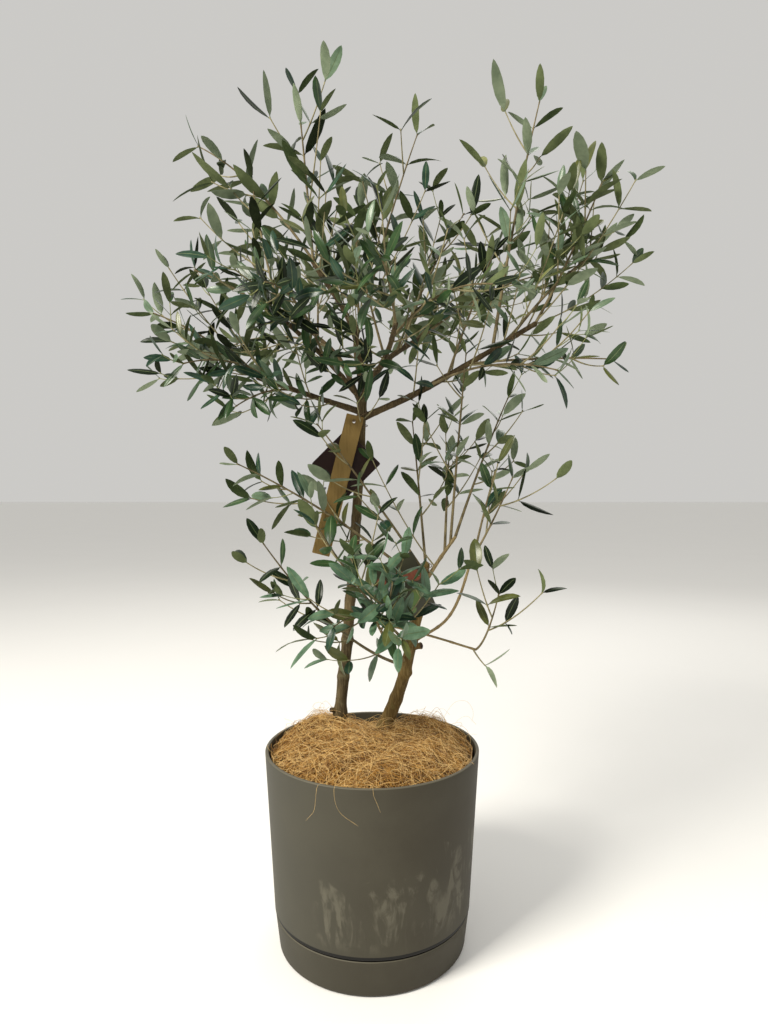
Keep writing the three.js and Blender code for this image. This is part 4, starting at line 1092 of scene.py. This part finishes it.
def leaf_nodes(length, bare, spacing, draw):
    """Opposite pairs along a shoot, each pair a quarter turn on from the last. A row holds a leaf's share
    of the shoot, its turn round it, its angle from it and its length."""
    count = max(1, int(length * (1 - bare) / spacing + 0.5))
    last = 1 - TIP_GAP / length
    start = math.pi * next(draw)
    rows = []
    for i in range(count):
        share = last if count == 1 else bare + (last - bare) * i / (count - 1)
        turn = start + i * math.pi / 2 + LEAF_TURN_SPREAD * (next(draw) - 0.5)
        base = LEAF_TIP_ANGLE if i == count - 1 else LEAF_ANGLE
        for half in (0, math.pi):
            angle = base + LEAF_ANGLE_SPREAD * (next(draw) - 0.5)
            size = LEAF_LEAST + LEAF_LENGTH_SPREAD * next(draw)
            rows.append((share, turn + half, angle, LEAF_LENGTH * size))
    return np.array(rows)


def level_of(axis):
    """The level direction square to a curve that lies in an upright plane."""
    level = np.cross(axis["tangent"][0], UP)
    return unit(level) if np.linalg.norm(level) > 1e-6 else np.array([1.0, 0, 0])


def around(axis, shares, turns):
    """Place and tangent at shares of a shoot, and the direction square to it at each turn."""
    place, tangent = read_axis(axis, np.asarray(shares))
    level, above = sides_of(tangent, level_of(axis))
    turns = np.asarray(turns)[:, None]
    return place, tangent, np.cos(turns) * level + np.sin(turns) * above


def mass_shoots(index, on, share, tip, arch):
    """One mass: its stem and side twigs, each with its axis, its rank and the solids' broad leaves. A
    side twig goes off by tangent cos(angle) + outward sin(angle), with a rise."""
    draw = random_stream(SEED + 101 * index)
    stem = shoot_axis(place_on(limb_axes[on], share), tip, arch)
    broad = leaf_nodes(stem["length"], STEM_LEAFLESS, LEAF_SPACING, draw)
    shoots = [{"axis": stem, "rank": 0, "bare": STEM_LEAFLESS, "broad": broad}]
    count = max(2, int(stem["length"] * (1 - STEM_BARE) / TWIG_SPACING + 0.5))
    span = STEM_TWIGS_END - STEM_BARE
    places = [STEM_BARE + span * (i + 0.3 * next(draw)) / count for i in range(count)]
    turn = 2 * math.pi * next(draw)
    for i in range(count):
        turn += math.pi / 2 + TWIG_TURN_SPREAD * (next(draw) - 0.5) + math.pi * (i % 2)
        angle = TWIG_ANGLE + TWIG_ANGLE_SPREAD * (next(draw) - 0.5)
        size = TWIG_LENGTH * (1 - TWIG_SHORTENING * i / count)
        reach = size * (TWIG_LEAST + TWIG_LENGTH_SPREAD * next(draw))
        place, tangent, outward = (part[0] for part in around(stem, [places[i]], [turn]))
        end = place + reach * (tangent * math.cos(angle) + outward * math.sin(angle) + TWIG_RISE * UP)
        twig = shoot_axis(place, end, TWIG_ARCH)
        broad = leaf_nodes(twig["length"], TWIG_BARE, LEAF_SPACING, draw)
        shoots.append({"axis": twig, "rank": 1, "bare": TWIG_BARE, "broad": broad})
    return shoots


masses = {name: mass_shoots(i, *row) for i, (name, *row) in enumerate(MASSES)}
broad_count = sum(len(shoot["broad"]) for shoots in masses.values() for shoot in shoots)
print("shoots:", sum(map(len, masses.values())), "broad leaves in the solids:", broad_count)

# %% [markdown]
# Now the finer growth. Some broad leaves become fine twigs of less than half their length with pairs of
# small leaves, and on every shoot true leaves sit in pairs from 20 mm apart. The long leaders at the top
# and the thin masses are airier: their pairs are up to 32 mm apart, and the leaders' leaves are longer.
# Short inner shoots fill the crown's middle, and a few sprouts stand on limbs where the photo shows them.

# %% Sizes of the finer growth
PAIR_SPACING, LEAF_SCALE = (20.0, 32.0), (0.57, 0.75)
LEADER_HEIGHTS = (910, 1040)
SPRAY_LENGTH, SPRAY_SHARE, SPRAY_RISE, SPRAY_ARCH, SPRAY_BARE = 0.42, 0.54, 0.12, -0.05, 0.5
# On a fine twig the pairs are closer and the leaves smaller. The last pair of any shoot is smaller too.
FINE_SPACING, FINE_LEAF, TIP_LEAF = 0.55, 0.86, 0.18
INNER_REACH, INNER_TOP = (50, 84), 940
BOUGH_SPACING, STEM_SPACING = 24.0, 38.0
# A mass as full as the crown's middle has fullness 1, and so has each that isn't named here.
FULLNESS = {}
for fullness, names in [
    (0.9, "top_leader"),
    (0.7, "low_front_up"),
    (0.65, "left_far"),
    (0.6, "centre_back right_far front_right"),
    (0.5, "centre_right right_tall right_top right_mid right_back"),
    (0.4, "left_mid low_left_front low_front"),
    (0.3, "centre_tall"),
    (0.2, "left_upper left_back low_left_mid low_left_low low_right_hang"),
    (0.15, "right_low right_low_front"),
    (0.1, "left_top low_left_high low_right_up low_right_far low_right_long low_back low_mid"),
    (0.0, "low_tall"),
]:
    FULLNESS.update(dict.fromkeys(names.split(), fullness))
SPROUTS = [
    # grows with, from, share of its length, tip
    ("low_left_high", "trunk_left", 0.893, (-20, -24, 732)),
    ("low_left_high", "trunk_left", 0.905, (10, -20, 738)),
    ("left_droop", "bough_left", 0.3, (-92, -40, 726)),
    ("left_droop", "bough_left", 0.42, (-118, -64, 742)),
    ("left_low", "bough_left", 0.5, (-96, -70, 800)),
    ("front_left", "bough_left_high", 0.3, (-60, -70, 772)),
    ("front_centre", "bough_front", 0.35, (-36, -84, 792)),
    ("front_centre", "bough_front", 0.5, (-10, -118, 766)),
    ("front_right", "bough_right", 0.3, (60, -60, 800)),
    ("low_front_up", "bough_low_front", 0.95, (4, -110, 500)),
    ("low_front_up", "bough_low_arc", 0.2, (62, -96, 484)),
    ("low_front_up", "bough_low_arc", 0.12, (30, -100, 452)),
    ("low_front_up", "bough_low_arc", 0.26, (84, -98, 500)),
    ("low_front_up", "bough_low_front", 1.0, (40, -112, 534)),
    ("low_mid", "bough_low_right", 0.4, (0, 4, 657)),
    ("low_right_hang", "bough_low_arc", 0.97, (146, -76, 391)),
    ("top_leader", "bough_leader", 0.9, (-44, 0, 1010)),
    ("top_leader", "bough_leader", 0.97, (-66, -38, 1042)),
    ("centre_tall", "bough_centre", 0.9, (72, 0, 1020)),
    ("centre_right", "bough_right_back", 0.6, (96, 40, 1000)),
    ("left_far", "bough_left", 0.95, (-258, -60, 898)),
    ("left_mid", "bough_left", 0.86, (-236, -20, 912)),
    ("right_top", "bough_right", 0.98, (335, -60, 1008)),
    ("right_top", "bough_right", 0.95, (288, 10, 1038)),
    ("right_far", "bough_right", 0.88, (244, -56, 968)),
    ("right_far", "bough_right", 1.0, (350, -10, 920)),
    ("low_front", "bough_low_front", 0.5, (-30, -70, 398)),
]
print("masses thinner than the middle:", len(FULLNESS), "sprouts:", len(SPROUTS))


# %% Leaves, inner shoots and fine twigs by the rule
def leaf_frames(axis, rows):
    """Each leaf's foot, direction and upper face. The direction is tangent cos(angle) + outward
    sin(angle), turned up where the shoot hangs. The face looks to the shoot's tip and half as much up."""
    place, tangent, outward = around(axis, rows[:, 0], rows[:, 1])
    angle = rows[:, 2][:, None]
    hanging = 3 * np.clip(-tangent[:, 2:] - 0.35, 0, None)
    direction = unit(tangent * np.cos(angle) + outward * np.sin(angle) + hanging * UP)
    face = unit(tangent - (tangent * direction).sum(-1, keepdims=True) * direction) + 0.5 * UP
    return place, direction, unit(face - (face * direction).sum(-1, keepdims=True) * direction)


def endless(rng):
    """Numbers from 0 to 1 without end, in place of the solids' stream."""
    while True:
        yield rng.uniform()


def side_shoot(foot, tip, rng):
    """A side twig from one place to another, with broad leaves by the rule."""
    axis = shoot_axis(foot, tip, TWIG_ARCH)
    broad = leaf_nodes(axis["length"], TWIG_BARE, LEAF_SPACING, endless(rng))
    return {"axis": axis, "rank": 1, "bare": TWIG_BARE, "broad": broad}


def inner_shoots(axis, first, last, spacing, rng):
    """Short shoots on the bare part of a limb or stem, a little over a third of a turn apart, as far up
    as the crown's middle goes."""
    count = int((last - first) * axis["length"] / spacing)
    shares = first + (last - first) * (np.arange(count) + rng.uniform(0.2, 0.8, count)) / max(1, count)
    turns = rng.uniform(0, 2 * np.pi) + 2.4 * np.arange(count) + rng.normal(0, 0.3, count)
    reach = rng.uniform(*INNER_REACH, (count, 1))
    angle = TWIG_ANGLE + TWIG_ANGLE_SPREAD * rng.uniform(-0.5, 0.9, (count, 1))
    place, tangent, outward = around(axis, shares, turns)
    tips = place + reach * (tangent * np.cos(angle) + outward * np.sin(angle) + 1.3 * TWIG_RISE * UP)
    return [side_shoot(foot, tip, rng) for foot, tip in zip(place, tips) if foot[2] < INNER_TOP]


def grow_finer(shoots, fullness, rng):
    """Adds the fine twigs to a mass's shoots, and gives each shoot its true leaves. The share of broad
    leaves that become fine twigs is the mass's fullness times a share that falls to nothing on the
    leaders, and the spacing and size of the leaves go from the first value to the second there."""
    for shoot in list(shoots):
        rows = shoot["broad"]
        height = read_axis(shoot["axis"], rows[:, 0])[0][:, 2]
        share = fullness * SPRAY_SHARE * np.interp(height, LEADER_HEIGHTS, (1, 0))
        rows = rows[rng.uniform(size=len(rows)) < share]
        places, directions, _ = leaf_frames(shoot["axis"], rows)
        for place, direction, length in zip(places, directions, rows[:, 3]):
            end = place + SPRAY_LENGTH * length * (direction + SPRAY_RISE * UP)
            shoots.append({"axis": shoot_axis(place, end, SPRAY_ARCH), "rank": 2, "bare": SPRAY_BARE})
    for shoot in shoots:
        fine = shoot["rank"] == 2
        airy = np.interp(shoot["axis"]["line"][-1, 2], LEADER_HEIGHTS, (0, 1))
        spacing = np.interp(max(airy, 1 - fullness), (0, 1), PAIR_SPACING) * (FINE_SPACING if fine else 1)
        rows = leaf_nodes(shoot["axis"]["length"], shoot["bare"], spacing, endless(rng))
        scale = np.interp(airy, (0, 1), LEAF_SCALE) * (FINE_LEAF if fine else 1)
        rows[:, 3] *= scale * (1 - TIP_LEAF * (rows[:, 0] > 0.97))
        shoot["leaves"] = rows


# %% Grow every mass
growth_rng = np.random.default_rng(SEED)
for name, shoots in masses.items():
    if not name.startswith("low"):
        spacing = STEM_SPACING / FULLNESS.get(name, 1)
        shoots += inner_shoots(shoots[0]["axis"], 0.06, 0.5, spacing, growth_rng)
for name, carrier, *_ in BOUGHS:
    if carrier == "trunk_left":
        mass = next(row[0] for row in MASSES if row[1] == name)
        masses[mass] += inner_shoots(limb_axes[name], 0.4, 0.96, BOUGH_SPACING, growth_rng)
for mass, on, share, tip in SPROUTS:
    masses[mass].append(side_shoot(place_on(limb_axes[on], share), tip, growth_rng))
for name, shoots in masses.items():
    grow_finer(shoots, FULLNESS.get(name, 1), growth_rng)
all_shoots = [shoot for shoots in masses.values() for shoot in shoots]
print("stems, side twigs, fine twigs:", np.bincount([shoot["rank"] for shoot in all_shoots]).tolist())
print("leaves:", sum(len(shoot["leaves"]) for shoot in all_shoots))

# %% [markdown]
# Stems and twigs are tubes with a slight swelling at each pair of leaves. Older wood is brown and rough,
# side twigs are tan, and the newest ones are still pale green.

# %% Finishes of the twigs
FLECK_TONE = paint(176, 160, 128)
TWIGS = {
    # dark and light colour, and roughness, for stems, side twigs and fine twigs
    "stem_brown": ((84, 74, 50), (122, 110, 80), 0.8),
    "twig_tan": ((108, 101, 70), (148, 140, 104), 0.7),
    "twig_green": ((106, 110, 66), (142, 144, 94), 0.6),
}


def twig_finish(name, dark, light, roughness):
    """Two colours in soft patches, with small pale flecks."""
    finish = Finish(name, Roughness=roughness, Specular_IOR_Level=0.3)
    colour = finish.mix(finish.band(finish.noise(90, detail=4), 0.3, 0.7), paint(*dark), paint(*light))
    fleck = finish.band(finish.cells(900), 0.2, 0.06)
    finish.set(Base_Color=finish.wash(colour, FLECK_TONE, fleck, 0.3))
    finish.bump(finish.noise(900, detail=3), 0.4, 0.0003)
    return finish.material


twig_materials = [twig_finish(name, *values) for name, values in TWIGS.items()]
print("twig finishes:", len(twig_materials))

# %% Stems and twigs
# Radii at foot and tip by rank: a stem's foot grows with its length, and twigs are all alike.
STEM_FOOT, STEM_GROWTH, STEM_TIP = 1.2, 0.004, 0.8
TWIG_RADII = {1: (1.15, 0.65), 2: (0.75, 0.45)}
TWIG_SIDES = (8, 6, 5)
TWIG_RING_STEP = 3.0
SWELL_SIZE, SWELL_REACH = 0.35, 2.0


def shoot_surface(shoot):
    """A tapering tube. Each pair of leaves swells it by a bell curve, e^-(distance / reach)^2."""
    axis, rank = shoot["axis"], shoot["rank"]
    foot, tip = TWIG_RADII.get(rank, (STEM_FOOT + STEM_GROWTH * axis["length"], STEM_TIP))
    shares = np.linspace(0, 1, max(5, int(axis["length"] / TWIG_RING_STEP)))
    away = (shares[:, None] - shoot["leaves"][None, :, 0]) * axis["length"] / SWELL_REACH
    swell = 1 + SWELL_SIZE * np.exp(-(away**2)).max(axis=1)
    return tube(axis, shares, (foot + (tip - foot) * shares) * swell, TWIG_SIDES[rank], level_of(axis))


foliage_nodes = ["foliage_" + name for name in masses]
for rank, name in enumerate(["stems", "side_twigs", "fine_twigs"]):
    surface = join([shoot_surface(shoot) for shoot in all_shoots if shoot["rank"] == rank])
    add_piece(name, surface, [twig_materials[rank]], foliage_nodes, "foliage")

# %% [markdown]
# An olive leaf is a narrow ellipse, four times as long as wide, on a short stalk, with rolled margins, a
# pale sunken midrib above and a raised one below. The top is leathery dark green and the underside is
# covered in silvery scales. One leaf is seven rings of seven points and a tip. All leaves are worked out
# together, as arrays of leaves x rings x points.

# %% The leaf's shape
LEAF_STATIONS = np.array([0.0, 0.06, 0.17, 0.38, 0.6, 0.8, 0.94])
LEAF_HALF_WIDTH = np.array([0.08, 0.09, 0.62, 0.97, 1.0, 0.76, 0.34])
LEAF_COLUMNS = np.array([-1.0, -0.55, -0.05, 0.05, 0.55, 1.0, 0.0])
MIDRIB_COLUMNS, MIDRIB_DEPTH = [2, 3], 0.12
UNDER_COLUMN = 6


def leaf_points(foot, direction, face, length, form):
    """Points of all leaves. Along a leaf the midline bends on an arc: x = L sin(c u) / c and
    z = -L (1 - cos(c u)) / c. Across it the blade rises by fold |v| - roll |v|^3 of the half-width."""
    curl, fold, roll, twist, side, slender = (column[:, None] for column in form.T)
    across = np.cross(direction, face)
    u = np.append(LEAF_STATIONS, 1.0)[None]
    x = length[:, None] * np.sin(curl * u) / curl
    z = -length[:, None] * (1 - np.cos(curl * u)) / curl
    y = side * length[:, None] * u**2
    half = np.append(LEAF_HALF_WIDTH, 0.0)[None] * length[:, None] * slender / 2
    v = LEAF_COLUMNS[None, None]
    offset = half[..., None] * v
    rise = half[..., None] * (fold[..., None] * np.abs(v) - roll[..., None] * np.abs(v) ** 3)
    rise[..., MIDRIB_COLUMNS] -= MIDRIB_DEPTH
    rise[..., UNDER_COLUMN] = -(0.35 + 0.6 * np.exp(-((u / 0.09) ** 2)) + 0.1 * half)
    cos, sin = np.cos(twist * u)[..., None], np.sin(twist * u)[..., None]
    sideways = y[..., None] + offset * cos - rise * sin
    outward = z[..., None] + offset * sin + rise * cos
    points = foot[:, None, None] + x[..., None, None] * direction[:, None, None]
    points = points + sideways[..., None] * across[:, None, None] + outward[..., None] * face[:, None, None]
    rings = points[:, :-1].reshape(len(foot), -1, 3)
    return np.concatenate([rings, foot[:, None], points[:, -1, UNDER_COLUMN][:, None]], axis=1)


leaf_faces = ring_faces(len(LEAF_STATIONS), len(LEAF_COLUMNS))
leaf_column = np.tile(np.arange(len(LEAF_COLUMNS)), len(LEAF_STATIONS) + 1)
leaf_part = np.select([leaf_column >= 5, leaf_column == 2], [2, 1], 0)
print("faces of a leaf:", len(leaf_faces))

# %% [markdown]
# Leaves on one spray are of one age and have nearly one colour, so each spray is dealt a tone, and one
# leaf in four differs. Old leaves are deep green, darkened partly as painted shade, and cooler on the left.
# Young ones at the right and on the top leaders are yellowish, and the tuft in front of the low label is a
# brighter green. Sprays deep in the crown, and some on the low masses, get darker tones of painted shade,
# for the shade that falls there.

# %% Finishes of the leaves
def leaf_finish(name, dark, light, roughness, gloss):
    """Blotches of two close colours, with the lighter one once more in the veins."""
    finish = Finish(name, Roughness=roughness, Specular_IOR_Level=gloss)
    blotch = finish.noise(55, detail=4, roughness=0.6)
    vein = finish.noise(600, detail=3, distortion=0.8)
    dark, light = paint(*dark), paint(*light)
    colour = finish.mix(finish.band(blotch, 0.3, 0.7), dark, light)
    finish.set(Base_Color=finish.wash(colour, light, vein, 0.2))
    finish.bump(vein, 0.2, 0.0003)
    return finish.material


BLADES = {
    # dark and light colour, and gloss
    # leaf_deep is the old leaves' deep green, darkened partly as painted shade.
    "leaf_deep": ((13, 23, 11), (26, 39, 20), 0.2),
    "leaf_blue": ((19, 40, 28), (40, 68, 50), 0.3),
    "leaf_mid": ((29, 49, 25), (50, 75, 41), 0.3),
    "leaf_grey": ((68, 88, 66), (98, 117, 93), 0.3),
    "leaf_olive": ((62, 68, 33), (88, 92, 47), 0.3),
    "leaf_young": ((94, 99, 52), (124, 127, 74), 0.3),
    "leaf_bright": ((50, 79, 55), (97, 124, 97), 0.3),
    # leaf_shade is painted shade alone, for sprays deep in the crown.
    "leaf_shade": ((8, 14, 6), (17, 26, 12), 0.08),
}
UNDERSIDES = {
    "under_silver": ((106, 120, 96), (136, 148, 122), 0.1),
    "under_khaki": ((74, 84, 54), (100, 110, 74), 0.1),
    "under_olive": ((50, 63, 37), (74, 87, 52), 0.1),
    # under_shade is painted shade for undersides deep in the crown.
    "under_shade": ((24, 31, 17), (42, 51, 30), 0.1),
}
RIBS = {
    "rib_pale": ((88, 102, 68), (112, 122, 84), 0.3),
    "rib_dull": ((56, 70, 40), (78, 90, 54), 0.3),
}
leaf_materials = [
    leaf_finish(name, dark, light, roughness, gloss)
    for tones, roughness in ((BLADES, 0.28), (UNDERSIDES, 0.75), (RIBS, 0.5))
    for name, (dark, light, gloss) in tones.items()
]
FIRST_UNDERSIDE = len(BLADES)
FIRST_RIB = FIRST_UNDERSIDE + len(UNDERSIDES)
print("leaf finishes:", len(leaf_materials))

# %% Tones by part of the crown
# The chance of each tone of BLADES, from deep to shade, and then of each underside.
OLD_GROWTH = [0.22, 0.21, 0.28, 0.19, 0.1, 0.0, 0.0, 0.0]
COOL_GROWTH = [0.18, 0.33, 0.24, 0.21, 0.04, 0.0, 0.0, 0.0]
SUNNY_GROWTH = [0.05, 0.04, 0.19, 0.25, 0.29, 0.18, 0.0, 0.0]
# The low masses, under the crown, take more deep tones and some shade tones, partly as painted shade.
LOW_GROWTH = [0.28, 0.18, 0.23, 0.1, 0.13, 0.0, 0.0, 0.08]
TUFT_GROWTH = [0.06, 0.12, 0.17, 0.08, 0.05, 0.0, 0.52, 0.0]
# Deep in the crown most leaves take the dark tones of painted shade, and so do their undersides in
# UNDER_INNER.
INNER_PAINTED_SHADE = [0.22, 0.13, 0.14, 0.02, 0.04, 0.0, 0.0, 0.45]
UNDER_OUTER, UNDER_INNER = [0.43, 0.34, 0.2, 0.03], [0.12, 0.2, 0.3, 0.38]
SUN_LEAF, SHADE_LEAF = (0.21, 0.3), (0.25, 0.36)
SUNNY = {"right_tall", "right_top", "right_far", "centre_right", "left_top", "low_right_long"}
TUFT = {"low_front_up", "low_front"}
GROUPS = {
    # the starts of the names of each group's masses, the growth most of them have, and the leaves' width
    "left": (("left", "top", "back_left", "front_left"), COOL_GROWTH, SUN_LEAF),
    "right": (("right", "back_right", "back_centre"), OLD_GROWTH, SUN_LEAF),
    "centre": (("centre", "front"), OLD_GROWTH, SUN_LEAF),
    "low": (("low",), LOW_GROWTH, SHADE_LEAF),
}


def group_of(name):
    """The group whose starts the mass's name has."""
    return next(group for group, (starts, _, _) in GROUPS.items() if name.startswith(starts))


# %% Leaves, dealt their tones by spray
CROWN_MIDDLE, CROWN_REACH = np.array([-20.0, 10.0, 875.0]), np.array([250.0, 190.0, 150.0])
SHADE_RISE = 1.5
SPRAY_LIKENESS = 0.75
RIB_SHARES = [0.6, 0.4]
FLATTEST_CURL = 0.02


def depth_in_crown(place):
    """How much painted shade a spray takes: 0 outside the crown to 1 deep inside, by steepness (1 -
    distance), in shares of the crown's reach.
    """
    return np.clip(SHADE_RISE * (1 - np.linalg.norm((place - CROWN_MIDDLE) / CROWN_REACH)), 0, 1)


def leaves_of(shoot, weights, slender, rng):
    """The points of a shoot's leaves, and the three material numbers of each: blade, rib, underside.
    `slender` holds the least and greatest width of a leaf as a share of its length. The chances of the
    tones go over to those of painted shade with the shoot's depth in the crown."""
    rows = shoot["leaves"]
    count = len(rows)
    place, direction, face = leaf_frames(shoot["axis"], rows)
    direction = unit(direction + rng.normal(0, 0.1, (count, 3)))
    face = face + rng.normal(0, 0.22, (count, 3))
    face = unit(face - (face * direction).sum(-1, keepdims=True) * direction)
    form = np.stack([
        np.where(rng.uniform(size=count) < 0.5, 1, -1) * FLATTEST_CURL + rng.normal(0.28, 0.3, count),
        rng.normal(0.2, 0.14, count),
        rng.uniform(0.1, 0.35, count),
        rng.normal(0, 0.3, count),
        rng.normal(0, 0.06, count),
        rng.uniform(*slender, count),
    ], axis=-1)
    form[:, 0] = np.where(np.abs(form[:, 0]) < FLATTEST_CURL, FLATTEST_CURL, form[:, 0])
    # The deeper a shoot sits in the crown, the more its tones go over to painted shade.
    inside = depth_in_crown(shoot["axis"]["line"].mean(axis=0))
    weights = (1 - inside) * np.array(weights) + inside * np.array(INNER_PAINTED_SHADE)
    under_weights = (1 - inside) * np.array(UNDER_OUTER) + inside * np.array(UNDER_INNER)
    spray = rng.choice(len(weights), p=weights)
    alike = rng.uniform(size=count) < SPRAY_LIKENESS
    blade = np.where(alike, spray, rng.choice(len(weights), count, p=weights))
    under = FIRST_UNDERSIDE + rng.choice(len(UNDERSIDES), count, p=under_weights)
    rib = FIRST_RIB + rng.choice(len(RIBS), count, p=RIB_SHARES)
    return leaf_points(place, direction, face, rows[:, 3], form), np.stack([blade, rib, under], axis=-1)


leaf_rng = np.random.default_rng(91)
dressed = {group: [] for group in GROUPS}
for name, shoots in masses.items():
    group = group_of(name)
    _, growth, slender = GROUPS[group]
    weights = SUNNY_GROWTH if name in SUNNY else TUFT_GROWTH if name in TUFT else growth
    dressed[group] += [leaves_of(shoot, weights, slender, leaf_rng) for shoot in shoots]
for group, made in dressed.items():
    points = np.concatenate([part for part, _ in made])
    tone = np.concatenate([tones for _, tones in made])
    shift = (np.arange(len(points)) * points.shape[1])[:, None, None]
    faces = np.where(leaf_faces < 0, -1, leaf_faces[None] + shift).reshape(-1, 4)
    nodes = ["foliage_" + name for name in masses if group_of(name) == group]
    add_piece("leaves_" + group, (points.reshape(-1, 3), faces), leaf_materials, nodes, "foliage",
              tones=tone[:, leaf_part].ravel(), sharp=50)

# %% [markdown]
# The stage is a wide pale floor under a pale sky, with one broad soft light from the upper left, a weaker
# one from the right, and one behind, so that no side is left dark.

# %% Floor and light
FLOOR_HALF, FLOOR_TOP = 40.0, -0.0004

floor_mesh = bpy.data.meshes.new("floor")
floor_corners = [(-1, -1), (1, -1), (1, 1), (-1, 1)]
floor_points = [(x * FLOOR_HALF, y * FLOOR_HALF, FLOOR_TOP) for x, y in floor_corners]
floor_mesh.from_pydata(floor_points, [], [(0, 1, 2, 3)])
floor = bpy.data.objects.new("floor", floor_mesh)
bpy.context.scene.collection.objects.link(floor)
pale = two_tone("pale_floor", (244, 243, 240), (247, 246, 243), (2,), Roughness=0.9, Specular_IOR_Level=0.1)
floor_mesh.materials.append(pale.material)

world = bpy.data.worlds.new("pale_sky")
world.use_nodes = True
sky = world.node_tree.nodes["Background"]
sky.inputs["Color"].default_value = (1.0, 0.985, 0.95, 1.0)
sky.inputs["Strength"].default_value = 0.6
bpy.context.scene.world = world
bpy.context.scene.view_settings.view_transform = "Standard"


LIT_PLACE = np.array([0, 0, 0.65])
LIGHTS = [
    # name, place in metres, size, power, colour
    ("key_light", (-1.8, -1.6, 2.4), 1.0, 122, (1.0, 0.96, 0.87)),
    ("fill_light", (2.4, -1.2, 1.6), 2.0, 5, (1.0, 0.98, 0.94)),
    ("back_light", (0.8, 2.4, 2.4), 2.0, 18, (1.0, 0.98, 0.94)),
]


def soft_light(name, place, size, energy, colour):
    """A square area light that looks at the middle of the plant: it is tipped by the angle from
    straight down and turned to the plant's side."""
    data = bpy.data.lights.new(name, "AREA")
    data.size, data.energy, data.color = size, energy, colour
    light = bpy.data.objects.new(name, data)
    light.location = place
    towards = LIT_PLACE - np.array(place)
    light.rotation_euler = (math.atan2(math.hypot(towards[0], towards[1]), -towards[2]), 0,
                            math.atan2(towards[1], towards[0]) - math.pi / 2)
    light.visible_camera = False
    bpy.context.scene.collection.objects.link(light)


for row in LIGHTS:
    soft_light(*row)
print("lights:", len(LIGHTS))
